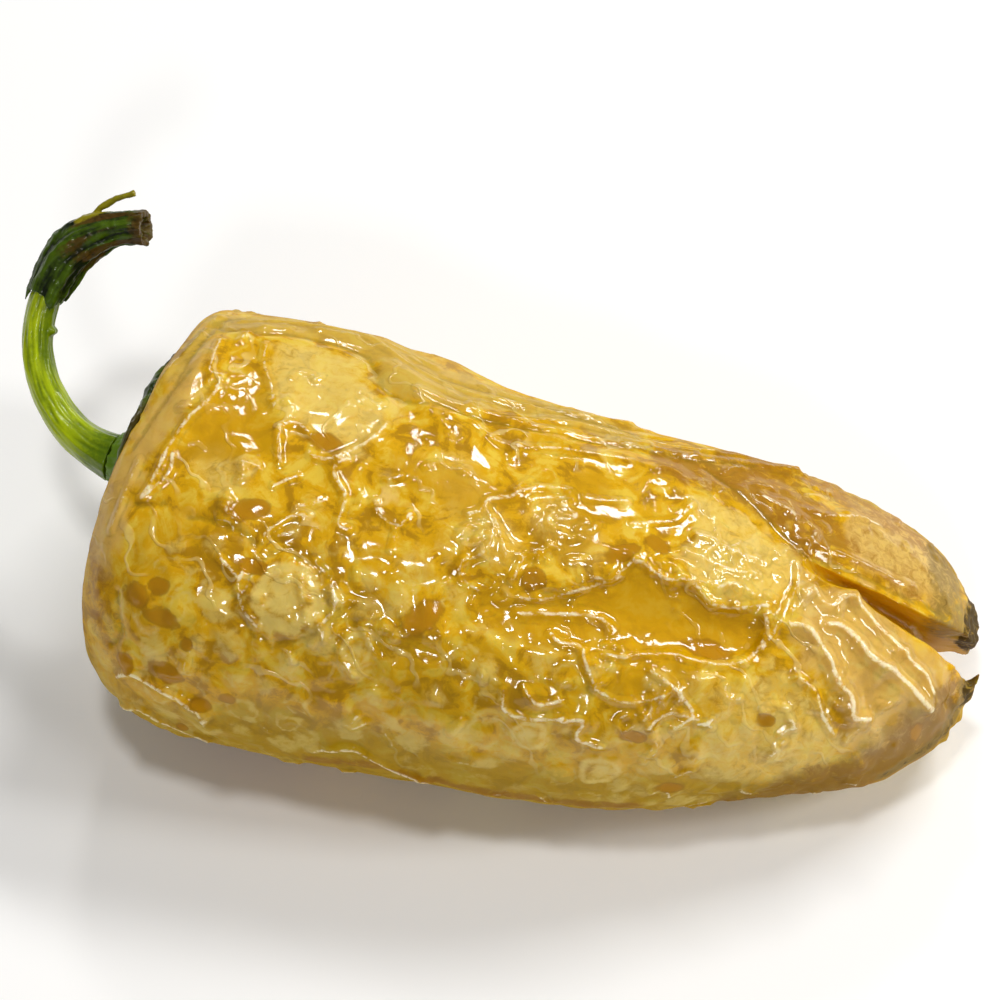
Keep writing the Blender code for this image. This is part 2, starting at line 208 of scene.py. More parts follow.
FOLDS = {
    "band crease": Fold(-0.35, 0.5, (
        (-35, -46), (-34, -43), (-31, -43), (-27.5, -45), (-23.5, -47), (-20, -45), (-18.5, -39),
        (-17, -32), (-15, -29), (-13, -29), (-11, -32), (-7, -33), (-1, -36))),
    "band left crease": Fold(-0.25, 0.45, ((-35.5, -46), (-35.5, -41), (-36.5, -24), (-37, -14))),
    "band wrinkle a": Fold(0.3, 0.5, ((-30, -52), (-22, -55), (-16, -47), (-9, -44), (-3, -48)), 0.3),
    "band wrinkle b": Fold(0.35, 0.45, ((-13.5, -34), (-7, -36), (-0.5, -38), (5.5, -41), (11, -45)), 0.5),
    "band wrinkle c": Fold(0.3, 0.45, (
        (-10, -28), (-8, -31), (-5, -26), (-2.5, -26), (2, -30), (8, -33)), 0.7),
    "shoulder line": Fold(0.4, 0.4, (
        (-32.5, -20), (-33, -9), (-34.5, 0), (-35.5, 11), (-36.5, 26), (-37, 31), (-35, 20), (-35, 13)), 1.0),
    "shoulder tuck": Fold(0.3, 0.4, ((-34, -35), (-34, -22), (-32.5, -21)), 0.8),
    "panel edge": Fold(0.2, 0.4, ((-29.5, -38), (-29, -30), (-27.5, -21), (-26.5, -12)), 0.7),
    "seed arc": Fold(0.3, 0.35, ((-25.5, -6), (-24.5, -8), (-23.5, -8), (-22, -5)), 1.0),
    "left curl": Fold(0.3, 0.35, ((-25.5, -4), (-25, 2), (-24.5, 7)), 0.9),
    "cradle": Fold(0.35, 0.38, ((-22, 1), (-21.5, 2), (-20, 2), (-18.5, -2), (-16.5, -9), (-15.5, -17)), 1.0),
    "cradle tail": Fold(0.35, 0.38, (
        (-18, 0), (-19, 3), (-19, 7), (-17.5, 13), (-17.5, 22), (-16.5, 23)), 1.0),
    "dash a": Fold(0.25, 0.35, ((-24.5, 15), (-23.5, 12), (-22.5, 10)), 0.9),
    "dash b": Fold(0.25, 0.35, ((-22, 20), (-21, 19), (-19.5, 16)), 0.8),
    "dash c": Fold(0.25, 0.35, ((-23, 30), (-21.5, 28)), 0.9),
    "low arc": Fold(0.25, 0.35, ((-24.5, 32), (-24, 29), (-22.5, 24), (-20.5, 22)), 0.7),
    "hook curl": Fold(0.3, 0.38, ((-14.5, 11), (-14, 15), (-12, 17), (-11, 12)), 1.0),
    "hook tail": Fold(0.3, 0.35, ((-12, 19), (-12, 25)), 0.8),
    "left crease": Fold(-0.3, 0.45, ((-32, 31), (-29, 30), (-26, 32), (-25, 34))),
    "left seam": Fold(-0.25, 0.4, ((-37.5, 34), (-34.5, 29))),
    "blister curl": Fold(0.3, 0.4, ((-28, 40), (-27, 42), (-26, 44)), 0.9),
    "near shoulder": Fold(0.5, 0.42, (
        (-37, 85), (-35.5, 79), (-34, 79), (-32, 80), (-30, 82), (-28.5, 84), (-28, 87)), 1.0),
    "near shoulder low": Fold(0.4, 0.42, ((-37, 100), (-35, 95), (-32.5, 98), (-30, 100), (-28, 101)), 0.9),
    "left dark crease": Fold(-0.35, 0.45, ((-38, 76), (-37, 71), (-37.5, 65), (-38, 61))),
    "blister left crescent": Fold(0.3, 0.4, ((-25.5, 42), (-25.8, 47), (-24.8, 52), (-23.4, 55)), 1.0),
    "blister right crescent": Fold(0.35, 0.45, ((-17, 40), (-16.2, 45), (-17.2, 51)), 1.0),
    "cleft far lip": Fold(-0.2, 0.35, ((27, -7), (30, -9), (33.5, -8), (37, -8), (40.5, -11))),
    "shoulder crease a": Fold(-0.2, 0.4, ((-36, -20), (-37.5, -6), (-38.5, 6), (-39.5, 18))),
    "shoulder crease b": Fold(0.25, 0.4, ((-38.3, 20), (-38.8, 32), (-39.5, 46)), 0.6),
    "band fold a": Fold(0.3, 0.6, ((-33, -50), (-27, -55), (-20, -57), (-13, -53)), 0.5),
    "band fold b": Fold(-0.2, 0.45, ((-12, -48), (-6, -52), (1, -51), (8, -52))),
    "band fold c": Fold(0.25, 0.45, ((-4, -38), (2, -46), (9, -50), (16, -55)), 0.6),
    "band fold d": Fold(-0.2, 0.4, ((2, -36), (8, -42), (14, -47), (20, -52))),
    "valley light": Fold(0.35, 0.5, ((1, 34), (4, 32), (7, 30), (8.5, 30), (10, 32)), 1.0),
    "valley line": Fold(0.22, 0.35, ((1, 29), (3, 28), (6.5, 22), (9, 17), (10, 13), (11, 8)), 0.8),
    "valley short line": Fold(0.22, 0.35, ((6.5, 19), (7.5, 17), (9, 17), (10, 15)), 0.8),
    "valley spur": Fold(0.35, 0.38, ((4.5, 38), (5.5, 40), (7.5, 40), (8, 43), (9.5, 51)), 1.0),
    "valley upper rim": Fold(0.3, 0.42, (
        (11, 9), (12, 9), (14, 12), (16, 12), (17.5, 15), (19, 20), (21.5, 21), (24, 19), (24.5, 22)), 0.9),
    "valley lower rim": Fold(0.35, 0.4, (
        (10, 41), (12, 41), (13.5, 39), (16, 38), (18, 40), (21, 42), (23, 41)), 0.8),
    "valley end": Fold(0.12, 0.42, ((24, 22), (24.5, 28), (24, 37), (23, 41)), 0.8),
    "valley root": Fold(0.25, 0.42, ((-3, 30), (-5, 27), (-5, 22), (-3, 17), (-3, 8), (-4, 2)), 0.6),
    "middle line": Fold(0.35, 0.38, (
        (-5.5, 6), (-4.5, 4), (-4, -1), (-2, -4), (-1, -8), (0.5, -12), (2, -13), (3, -13)), 1.0),
    "middle dash": Fold(0.25, 0.35, ((0, -5), (1, -8), (3, -10)), 1.0),
    "middle bar": Fold(0.25, 0.35, ((5, -12), (7, -14), (9, -16)), 0.9),
    "middle arrow": Fold(0.3, 0.35, ((3, -7), (4.6, -4), (3, -1)), 1.0),
    "middle fan a": Fold(0.3, 0.4, ((-3, 5), (-2, 11), (-1, 18)), 0.7),
    "middle fan b": Fold(0.3, 0.4, ((0.5, 17), (0, 24)), 0.9),
    "seed line": Fold(0.3, 0.38, ((10, -7), (12.5, -11), (14, -14), (15, -22)), 0.9),
    "cream line a": Fold(0.3, 0.4, ((16, -8), (18, -6), (20, -2), (23, -1)), 0.9),
    "cream line b": Fold(0.3, 0.4, ((15.5, 0), (17.5, 3), (20, 6), (22.5, 6)), 0.9),
    "cream line c": Fold(0.3, 0.4, ((19, 14), (21, 12), (22.5, 15)), 0.9),
    # The near lobe's folds carry broad painted highlights along their crests.
    "near lobe a": Fold(0.8, 0.62, ((32, 6), (34.5, 16), (36.5, 24), (38, 30), (40, 38), (41, 47)), 1.4),
    "near lobe b": Fold(0.8, 0.62, (
        (30, 22), (31.5, 22), (33.5, 28), (34.5, 32), (37, 38), (39, 45), (41, 55)), 1.5),
    "near lobe c": Fold(0.8, 0.62, (
        (26.5, 25), (28, 25), (29.5, 30), (31, 38), (32, 45), (33.5, 51), (34, 58), (35.5, 59)), 1.3),
    "near lobe d": Fold(0.8, 0.62, ((27, 10), (28, 8), (29, 12), (30, 13), (31, 7), (32, 6)), 0.9),
    "lobe root a": Fold(0.35, 0.42, ((26, -5), (26.5, 6), (26, 17), (25.5, 26), (24.5, 36)), 0.7),
    "lobe root b": Fold(0.3, 0.4, ((27, -3), (28, 3), (27.5, 12), (26.5, 20)), 0.6),
    "lobe curl": Fold(0.35, 0.4, ((28, 44), (30, 49), (31, 58), (32.5, 66)), 0.9),
    "far lobe line": Fold(0.3, 0.38, ((28, -34), (30, -40), (33, -46)), 0.9),
    "far lobe curl": Fold(0.3, 0.38, ((21.5, -32), (23, -30), (25, -26)), 1.0),
    "far lobe rim": Fold(0.15, 0.5, ((27.5, -16), (31, -17), (34.5, -16), (37.5, -18)), 0.5),
    "brown crease": Fold(-0.35, 0.5, ((15.5, -44), (19, -33), (21.5, -26), (25, -15), (27, -8))),
    "stair a": Fold(0.3, 0.38, ((14.5, 44), (17, 50), (19, 58), (17.5, 63)), 0.9),
    "stair b": Fold(0.3, 0.38, ((9.5, 52), (12, 55), (14.5, 54), (17, 50)), 0.7),
    "stair c": Fold(0.3, 0.38, ((15, 62), (17, 58), (19.5, 60)), 0.9),
    "field curl a": Fold(0.25, 0.38, ((3, 55), (4.5, 59), (6.5, 57)), 0.9),
    "field curl b": Fold(0.25, 0.38, ((1, 57), (1.5, 63), (4, 64), (7, 62)), 0.8),
    "field curl c": Fold(0.25, 0.38, ((7, 63), (9, 62), (8.5, 68), (11, 70)), 0.8),
    "bottom flap": Fold(0.4, 0.5, ((-17, 92), (-13, 88), (-9.5, 93), (-5.5, 98)), 0.8),
    "band leaf a": Fold(0.22, 0.5, ((-9, -43), (-4, -48), (3, -55))),
    "band leaf b": Fold(0.22, 0.5, ((-1, -44), (5, -49), (11, -56))),
    "band leaf c": Fold(0.35, 0.6, ((-6, -46), (0, -51), (7, -58)), 0.4),
    "band leaf d": Fold(0.22, 0.5, ((7, -46), (13, -51), (19, -57))),
    "band leaf e": Fold(0.35, 0.6, ((10, -46), (17, -51), (25, -57)), 0.4),
    "shoulder fold a": Fold(0.4, 0.6, ((-35.5, -52), (-37, -36), (-38.3, -18)), 0.4),
    "shoulder fold b": Fold(-0.3, 0.5, ((-33, -56), (-36.3, -44), (-37.6, -28))),
    "far flank": Fold(0.5, 0.6, ((-34, -78), (-24, -84), (-12, -80), (2, -86), (16, -82), (28, -86)), 0.7),
    "far flank lower": Fold(0.4, 0.5, ((-30, -108), (-18, -104), (-4, -110), (10, -104)), 0.7),
    "far edge": Fold(0.35, 0.5, ((-14, -66), (-4, -60), (6, -59), (14, -61), (24, -58)), 0.6),
    "far slant": Fold(0.35, 0.5, ((-26, -92), (-16, -96), (-8, -93), (-2, -99)), 0.7),
    "far lobe flank": Fold(0.35, 0.5, ((26, -72), (32, -78), (38, -76), (41, -80)), 0.8),
}

FAR_BANK = (
    (9.5, -46), (14.5, -53), (20.5, -53), (25, -48), (29.5, -37), (31.5, -20), (30, -12), (27, -8), (24, -15),
    (19.5, -27), (15.5, -31), (10.5, -31))
FAR_LOBE = (
    (30, -52), (34, -68), (39.5, -72), (42, -60), (41.5, -12), (39.5, -14), (36.5, -8), (33, -13), (31, -18),
    (29.5, -30))

REGIONS = {
    "top band": Region(Paint.KHAKI, 1.3, (
        (-37.5, -34), (-36.5, -52), (-31.5, -60), (-24, -62), (-17, -61), (-12.5, -58), (-8.5, -57),
        (-4, -57), (0, -56), (4.5, -55), (8.5, -55), (9, -47), (7, -42), (2.5, -43), (-1.5, -43),
        (-5.5, -40), (-9, -34),
        (-12, -30), (-15, -29), (-17, -32), (-18.5, -39), (-20, -45), (-22, -47), (-25.5, -46), (-31, -43),
        (-34, -43), (-35.5, -39), (-36, -26), (-37, -15), (-38.5, -16))),
    "panel": Region(Paint.CREAM, 1.8, (
        (-29.5, -38), (-26.5, -43), (-22.5, -44), (-20, -41), (-18, -31), (-16, -27), (-14.5, -18), (-16, -9),
        (-18, -2), (-20.5, -4), (-22.5, -7), (-25, -8), (-27, -15), (-28.5, -28)), 0.8),
    "amber patch": Region(Paint.AMBER, 1.7, (
        (-32.5, -20), (-29, -27), (-26.5, -12), (-25.5, 5), (-28.5, 10), (-32, 11), (-34.5, 13), (-34.5, 4),
        (-33.5, -9))),
    "shoulder strip": Region(Paint.PEACH, 1.3, (
        (-38.2, -9), (-36, -28), (-34.5, -35), (-34.5, -22), (-34, -9), (-35.6, 0), (-36.6, 11), (-37.6, 26),
        (-38, 31), (-38, 41), (-39, 58), (-41.5, 58), (-41, 30), (-40, 10)), 0.9),
    "left brown": Region(Paint.BROWN, 1.8, (
        (-41.5, 54), (-38, 60), (-37, 72), (-37.5, 80), (-40, 80), (-42, 68)), 0.6),
    "valley": Region(Paint.AMBER, 2.0, (
        (-3, 30), (1, 29), (4.5, 24), (8, 18), (10, 11), (11.5, 8), (14, 12), (16, 12), (17.5, 15), (19, 20),
        (21.5, 21), (23.5, 19), (23, 28), (23, 36), (21.5, 41), (19, 41), (16, 39), (13, 40), (10.5, 41),
        (7.5, 41), (4.5, 40), (1, 42), (-2, 38)), relief=-0.6),
    "far bank": Region(Paint.PEACH, 2.0, FAR_BANK, 0.45),
    "brown mottle": Region(Paint.BROWN, 1.6, FAR_BANK, 0.85),
    "cream knoll": Region(Paint.CREAM, 1.5, (
        (11.5, -28), (15.5, -27), (19.5, -25), (24, -12), (26.5, -7), (26, 15), (24, 18), (21.5, 19),
        (19, 18), (17.5, 14), (16, 11), (15.5, -6), (15, -22)), 0.75, relief=0.25),
    "far lobe": Region(Paint.PEACH, 1.4, FAR_LOBE, 0.95),
    "far lobe mottle": Region(Paint.BROWN, 1.6, FAR_LOBE, 0.5),
    "far tip": Region(Paint.CHAR, 1.6, ((42.6, -100), (43.0, -30), (43.0, 0), (46, 20), (46, -170))),
    "near lobe": Region(Paint.PEACH, 1.6, (
        (26.5, -1), (29.5, 4), (33.5, -6), (38, 18), (41, 20), (44, 40), (44, 62), (42, 84), (38.5, 90),
        (34.5, 79), (33, 60), (30.5, 45), (27, 31)), 0.9),
    "near lobe low": Region(Paint.BROWN, 2.4, (
        (44, 58), (43, 90), (39.5, 104), (36, 110), (22, 108), (26, 96), (31, 84), (36, 74), (40, 62)), 1.0),
    "near tip": Region(Paint.CHAR, 0.9, ((44.2, 20), (44.4, 60), (45.0, 90), (47, 120), (47, 0)), 0.85),
    "pale flank": Region(Paint.CREAM, 1.4, (
        (21, 47), (26.5, 43), (31.5, 53), (33.5, 69), (32, 88), (26.5, 90), (20.5, 85), (20, 64)), 0.6),
    "bottom flesh": Region(Paint.KHAKI, 0.9, (
        (-14.5, 92), (-8.5, 85), (-3.5, 80), (1.5, 86), (7.5, 86), (15, 89), (15, 99), (7.5, 102),
        (-0.5, 102), (-8.5, 102), (-14.5, 101)), 0.3),
    "bottom shade": Region(Paint.OLIVE, 1.5, (
        (-33.5, 86), (-28, 84), (-18.5, 89), (-15.5, 99), (-24.5, 106), (-31, 106)), 1.0),
    "shoulder film": Region(Paint.PEACH, 1.4, (
        (-39, 79), (-35.5, 79), (-32, 80), (-28, 87), (-24, 97), (-31, 98), (-35, 96), (-39, 106),
        (-41, 87)), 0.5),
    "middle amber a": Region(Paint.AMBER, 1.2, (
        (-14, -7), (-6.5, -11), (-1, -4), (-4.5, 7), (-9.5, 5), (-13.5, 3)), 0.8),
    "middle amber b": Region(Paint.AMBER, 1.2, (
        (2, -21), (6, -24), (8.5, -16), (7.5, 4), (5, 13), (2.5, 9), (4.5, -7)), 0.8),
    "stair amber": Region(Paint.AMBER, 1.0, (
        (13.5, 41), (18, 42), (19.5, 50), (17, 60), (13.5, 62), (11, 55), (11.5, 47)), 0.9),
    "left amber": Region(Paint.AMBER, 1.4, (
        (-37, 38), (-28, 22), (-24.5, 33), (-26, 39), (-32.5, 44), (-37, 58)), 0.5),
}

PATCHES = (
    Patch(Paint.CREAM, 2.6, ((-8, -8), (-5, 4), (-2, 14)), 0.5),
    Patch(Paint.CREAM, 2.6, ((2, -2), (4, 3), (6, 8)), 0.5),
    Patch(Paint.CREAM, 2.2, ((-31, 12), (-29, 16)), 0.6),
    Patch(Paint.OLIVE, 7.5, ((-16, 50), (-8, 54), (0, 58), (9, 66), (18, 74)), 0.42),
    Patch(Paint.OLIVE, 5.0, ((-34, 66), (-26, 66), (-18, 64)), 0.3),
    # Darker olive along the bottom of the near flank, partly painted shade.
    Patch(Paint.OLIVE, 6.0, ((-22, 92), (-8, 96), (8, 100), (20, 100)), 1.0),
    Patch(Paint.BROWN, 3.4, ((30, 100), (36, 92), (41, 80), (43, 64)), 0.9),
    Patch(Paint.AMBER, 1.6, ((-2, 34), (1, 37), (5, 38)), 1.0),
    Patch(Paint.BROWN, 3.0, ((18, -60), (27, -56), (34, -58), (39, -60)), 0.7),
    Patch(Paint.BROWN, 1.2, ((27, -12), (31, -15), (35, -12), (38, -14)), 0.6),
    Patch(Paint.BROWN, 1.3, ((-17, 99), (-10, 96), (-4, 100), (4, 103), (14, 103)), 0.9),
    Patch(Paint.CHAR, 1.0, ((38, 100), (42, 90), (44, 80)), 0.6),
    Patch(Paint.CHAR, 1.2, ((44.2, 25), (44.4, 55), (43.4, 80)), 0.5),
    Patch(Paint.CHAR, 2.8, ((40.2, -56), (41.4, -30), (42, -8)), 0.46),
    Patch(Paint.CREAM, 3.0, ((33, -32), (36, -34), (39, -40)), 0.95),
    # Painted shade on the underside of the near lobe.
    Patch(Paint.SHADE, 4.2, ((26, 102), (33, 94), (38, 82), (42, 70)), 1.0),
)

SEEDS = (
    Seed((-20.5, -4), 2.9, 1.7, 10), Seed((-26, 24), 3.5, 1.7, -25), Seed((-24.5, 40), 2.6, 1.2, 0),
    Seed((-35.5, 57), 2.4, 2.1, 0), Seed((-33.4, 52), 1.8, 1.7, 0), Seed((-32.5, 60), 2.8, 1.6, 8),
    Seed((-36, 77), 1.5, 1.9, 0), Seed((-30, 65), 1.2, 1.2, 0), Seed((-31.5, 75), 2.8, 1.8, 10),
    Seed((-28, 82), 1.7, 1.2, 20), Seed((-25.5, 78), 1.4, 1.1, 0), Seed((-30.5, 97), 1.2, 1.0, 0),
    Seed((-7.5, 41), 3.8, 2.3, -50), Seed((2, 22), 2.2, 1.9, -20), Seed((10, 6), 2.7, 1.6, -30),
    Seed((13, 0), 2.4, 1.7, 20), Seed((20, 37), 4.0, 1.7, 12), Seed((14, 66), 2.2, 1.2, 10),
    Seed((18, 89), 2.3, 1.4, 0), Seed((26, 61), 1.7, 1.2, 0), Seed((40.5, 72), 1.4, 1.8, 0),
)

BLISTERS = (
    Blister((-21, 46), 3.6, 0.2, 0.14), Blister((-27.5, 11), 1.3, 0.1, 0.05),
    Blister((-13.5, 55), 1.7, 0.1, 0.06), Blister((4, 70), 2.0, 0.12, 0.08),
    Blister((27, 74), 1.5, 0.08, 0.04), Blister((11, 80), 2.2, 0.1, 0.06),
)

# Where the small blisters stand close, and the two stretches of smooth skin that have almost none.
NEAR_FIELD = Stroke(12.0, ((-30, 74), (-16, 62), (-8, 60), (0, 62), (9, 68), (18, 72), (30, 66)))
FAR_FIELD = Stroke(13.0, ((-28, -112), (-10, -115), (8, -115), (24, -105)))
SMOOTH_WINDOW = Stroke(3.2, ((0, 32), (8, 31), (16, 30), (22, 32)))
SMOOTH_BAND = Stroke(6.0, ((-36, -44), (-24, -60), (-10, -54), (6, -54), (16, -58)))

# The colours of the sides that the photograph doesn't show: their grain in millimetres, the shift of
# their noise, the noise's value where they begin, and how strong they get.
FAR_SIDE = {
    Paint.CREAM: (12, 1, 0.0, 0.7), Paint.AMBER: (10, 5, 0.05, 0.8), Paint.OLIVE: (13, 9, 0.0, 0.9),
    Paint.PEACH: (11, 17, 0.1, 0.7), Paint.BROWN: (8, 13, 0.2, 0.8),
}


def linear(hex_colour: str) -> tuple[float, float, float, float]:
    """Turns an sRGB hex colour into Blender's linear one.

    Args:
        hex_colour: The colour as "#RRGGBB".

    Returns:
        Linear red, green, blue and an alpha of 1.
    """
    values = [int(hex_colour[start:start + 2], 16) / 255 for start in (1, 3, 5)]
    return (*[v / 12.92 if v <= 0.04045 else ((v + 0.055) / 1.055) ** 2.4 for v in values], 1.0)


def fill(tree: bpy.types.NodeTree, node: bpy.types.Node, inputs: dict) -> None:
    """Sets or links a node's inputs.

    Args:
        tree: The node tree.
        node: The node.
        inputs: Values or output sockets by the input's name or number.
    """
    for name, value in inputs.items():
        if isinstance(value, bpy.types.NodeSocket):
            tree.links.new(value, node.inputs[name])
        else:
            node.inputs[name].default_value = value


def add_node(
    tree: bpy.types.NodeTree, kind: str, inputs: dict | None = None, **settings: object,
) -> bpy.types.Node:
    """Adds a node with its settings and links.

    Args:
        tree: The node tree.
        kind: The node's type name.
        inputs: Values or output sockets by the input's name or number.
        settings: The node's own properties.

    Returns:
        The new node.
    """
    node = tree.nodes.new(kind)
    for name, value in settings.items():
        setattr(node, name, value)
    fill(tree, node, inputs or {})
    return node


def start_material(name: str) -> tuple[bpy.types.Material, bpy.types.Node, bpy.types.NodeSocket]:
    """Starts a material.

    Args:
        name: The material's name.

    Returns:
        The material, its shader, and the Object coordinates that its patterns read.
    """
    made = bpy.data.materials.new(name)
    made.use_nodes = True
    place = add_node(made.node_tree, "ShaderNodeTexCoord").outputs["Object"]
    return made, made.node_tree.nodes["Principled BSDF"], place


def smooth_step(values: np.ndarray, low: float, high: float) -> np.ndarray:
    """Rises smoothly from 0 at low to 1 at high."""
    share = np.clip((values - low) / (high - low), 0.0, 1.0)
    return share * share * (3 - 2 * share)


def noise_at(points_mm: np.ndarray, grain_mm: float, offset: float = 0.0) -> np.ndarray:
    """Smooth noise at many points.

    Args:
        points_mm: The points, in millimetres.
        grain_mm: The size of the pattern.
        offset: Shifts the pattern, so that two fields differ.

    Returns:
        Values from about -1 to 1.
    """
    scaled = points_mm / grain_mm + offset
    return np.array([noise.noise(Vector(point)) for point in scaled])


def distance_to_path(points: np.ndarray, path: np.ndarray) -> np.ndarray:
    """The distance of every point to a polyline, in the points' own unit."""
    nearest = np.full(len(points), np.inf)
    for start, end in zip(path[:-1], path[1:]):
        span = end - start
        share = np.clip((points - start) @ span / max(span @ span, 1e-9), 0.0, 1.0)
        offset = points - (start + share[:, None] * span)
        nearest = np.minimum(nearest, np.linalg.norm(offset, axis=1))
    return nearest


@dataclass
class Carving:
    """The points of a piece while it is carved and painted.

    Args:
        piece: The piece.
        points: Where its points are, in millimetres.
        normals: The way that the skin faces at each point.
        relief: How far each point is going to be moved along its normal, in millimetres.
        masks: The value of each paint at each point, from 0 to 1.
    """

    piece: bpy.types.Object
    points: np.ndarray = field(init=False)
    normals: np.ndarray = field(init=False)
    relief: np.ndarray = field(init=False)
    masks: dict[Paint, np.ndarray] = field(init=False, default_factory=dict)

    def __post_init__(self) -> None:
        """Reads the piece's points and the way that each faces."""
        mesh = self.piece.data
        flat = np.empty(len(mesh.vertices) * 3, np.float32)
        mesh.vertices.foreach_get("co", flat)
        self.points = flat.reshape(-1, 3).astype(float) / MM
        mesh.vertex_normals.foreach_get("vector", flat)
        self.normals = flat.reshape(-1, 3).astype(float)
        self.relief = np.zeros(len(self.points))

    def mask(self, paint: Paint) -> np.ndarray:
        """The mask of one paint, which starts at zero everywhere."""
        return self.masks.setdefault(paint, np.zeros(len(self.points)))

    def paint_over(self, paint: Paint, values: np.ndarray, where: np.ndarray | slice = slice(None)) -> None:
        """Raises a mask to the values where they are higher.

        Args:
            paint: The mask.
            values: The values, one for each point chosen by where.
            where: The numbers of the points, or all.
        """
        mask = self.mask(paint)
        mask[where] = np.maximum(mask[where], values)

    def near(self, path: np.ndarray, reach: float) -> tuple[np.ndarray, np.ndarray]:
        """The points close to a path.

        Args:
            path: The path's points, in millimetres.
            reach: How far from it a point may be.

        Returns:
            The numbers of the points, and their distances.
        """
        inside = np.all((self.points > path.min(0) - reach) & (self.points < path.max(0) + reach), axis=1)
        numbers = np.nonzero(inside)[0]
        distance = distance_to_path(self.points[numbers], path)
        close = distance < reach
        return numbers[close], distance[close]

    def finish(self) -> None:
        """Moves the points by the relief, along their normals, and stores the masks on the mesh."""
        mesh = self.piece.data
        self.points += self.normals * self.relief[:, None]
        mesh.vertices.foreach_set("co", (self.points * MM).astype(np.float32).ravel())
        for paint, values in self.masks.items():
            layer = mesh.attributes.new(paint.value, "FLOAT", "POINT")
            layer.data.foreach_set("value", np.clip(values, 0.0, 1.0).astype(np.float32))
        mesh.update()


class Finish(Protocol):
    """What a piece can be finished with."""

    def material(self) -> bpy.types.Material:
        """Builds the finish's material."""


@dataclass
class GrownPiece:
    """A piece that grew: a finer copy of its CAD node, carved and painted.

    Args:
        node: The CAD node that it stands for.
        slot: The record's material slot; not used.
        voxel_mm: The size of the even faces that the copy gets.
        smoothing: How often the copy is smoothed before it is carved.
        most_triangles: How many triangles the carved piece may have.
        merge_mm: How close points of the CAD mesh lie that are one point.
    """

    node: str
    slot: str
    voxel_mm: float
    smoothing: int
    most_triangles: int = 190_000
    merge_mm: float = 0.001

    def build(self, finish: Finish) -> None:
        """Makes the piece.

        Args:
            finish: What it is finished with.
        """
        piece = self.copy()
        carving = Carving(piece)
        self.carve(carving)
        carving.finish()
        self.hand_over(piece, finish.material())

    def carve(self, carving: Carving) -> None:
        """Carves and paints the piece, in the way of its own kind."""
        raise NotImplementedError

    def copy(self) -> bpy.types.Object:
        """Makes the copy, with merged points and even faces.

        Returns:
            The new object, which is selected and active.
        """
        piece = bpy.data.objects.new(self.node + "_grown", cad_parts[self.node].data.copy())
        bpy.context.scene.collection.objects.link(piece)
        bpy.ops.object.select_all(action="DESELECT")
        piece.select_set(True)
        bpy.context.view_layer.objects.active = piece
        bpy.ops.object.mode_set(mode="EDIT")
        bpy.ops.mesh.select_all(action="SELECT")
        bpy.ops.mesh.remove_doubles(threshold=self.merge_mm * MM)
        bpy.ops.object.mode_set(mode="OBJECT")
        remesh = piece.modifiers.new("Even faces", "REMESH")
        remesh.mode = "VOXEL"
        remesh.voxel_size = self.voxel_mm * MM
        bpy.ops.object.modifier_apply(modifier=remesh.name)
        smooth = piece.modifiers.new("Soften", "SMOOTH")
        smooth.iterations = self.smoothing
        bpy.ops.object.modifier_apply(modifier=smooth.name)
        piece.data.materials.clear()
        return piece

    def count_triangles(self, piece: bpy.types.Object) -> int:
        """The number of triangles that the piece's faces make."""
        return sum(len(face.vertices) - 2 for face in piece.data.polygons)

    def thin_out(self, piece: bpy.types.Object) -> None:
        """Takes faces out of a carved piece's flat stretches where it has more triangles than it may."""
        triangles = self.count_triangles(piece)
        if triangles > self.most_triangles:
            fewer = piece.modifiers.new("Fewer faces", "DECIMATE")
            fewer.ratio = self.most_triangles / triangles
            bpy.ops.object.modifier_apply(modifier=fewer.name)

    def hand_over(self, piece: bpy.types.Object, finish: bpy.types.Material) -> None:
        """Gives the piece its finish, hangs it on the body and hides the CAD node that it stands for.

        Args:
            piece: The carved piece.
            finish: Its material.
        """
        piece.data.materials.append(finish)
        bpy.ops.object.select_all(action="DESELECT")
        piece.select_set(True)
        bpy.context.view_layer.objects.active = piece
        self.thin_out(piece)
        bpy.ops.object.shade_smooth()
        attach(piece, BODY)
        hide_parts(self.node)
        log.info("%s: %d triangles", piece.name, self.count_triangles(piece))


@dataclass(frozen=True)
class Layer:
    """One coat of colour in a finish, where a mask is high.

    Args:
        paint: The mask.
        colour: The coat's sRGB hex colour.
        low: The mask's value where the coat begins.
        high: The mask's value where it is full.
        strength: How much it covers at most.
        breakup: How much the noise thins and thickens the coat.
    """

    paint: Paint
    colour: str
    low: float
    high: float
    strength: float = 1.0
    breakup: float = 0.3


def lay_coats(
    tree: bpy.types.NodeTree, under: bpy.types.NodeSocket, layers: tuple[Layer, ...],
    breaking: bpy.types.NodeSocket,
) -> bpy.types.NodeSocket:
    """Lays coats of colour over each other.

    Args:
        tree: The node tree.
        under: The colour that lies lowest.
        layers: The coats, from the lowest to the top one.
        breaking: Noise from 0 to 1 that breaks up the coats' edges.

    Returns:
        The socket of the finished colour.
    """
    for layer in layers:
        mask = add_node(tree, "ShaderNodeAttribute", attribute_name=layer.paint.value)
        uneven = add_node(tree, "ShaderNodeMath", {
            0: breaking, 1: 2 * layer.breakup, 2: 1 - layer.breakup}, operation="MULTIPLY_ADD")
        broken = add_node(tree, "ShaderNodeMath", {0: mask.outputs["Fac"], 1: uneven.outputs[0]},
                          operation="MULTIPLY")
        cover = add_node(tree, "ShaderNodeMapRange", {
            "Value": broken.outputs[0], "From Min": layer.low, "From Max": layer.high,
            "To Max": layer.strength}, interpolation_type="SMOOTHSTEP")
        under = add_node(tree, "ShaderNodeMixRGB", {
            0: cover.outputs[0], 1: under, 2: linear(layer.colour)}).outputs[0]
    return under


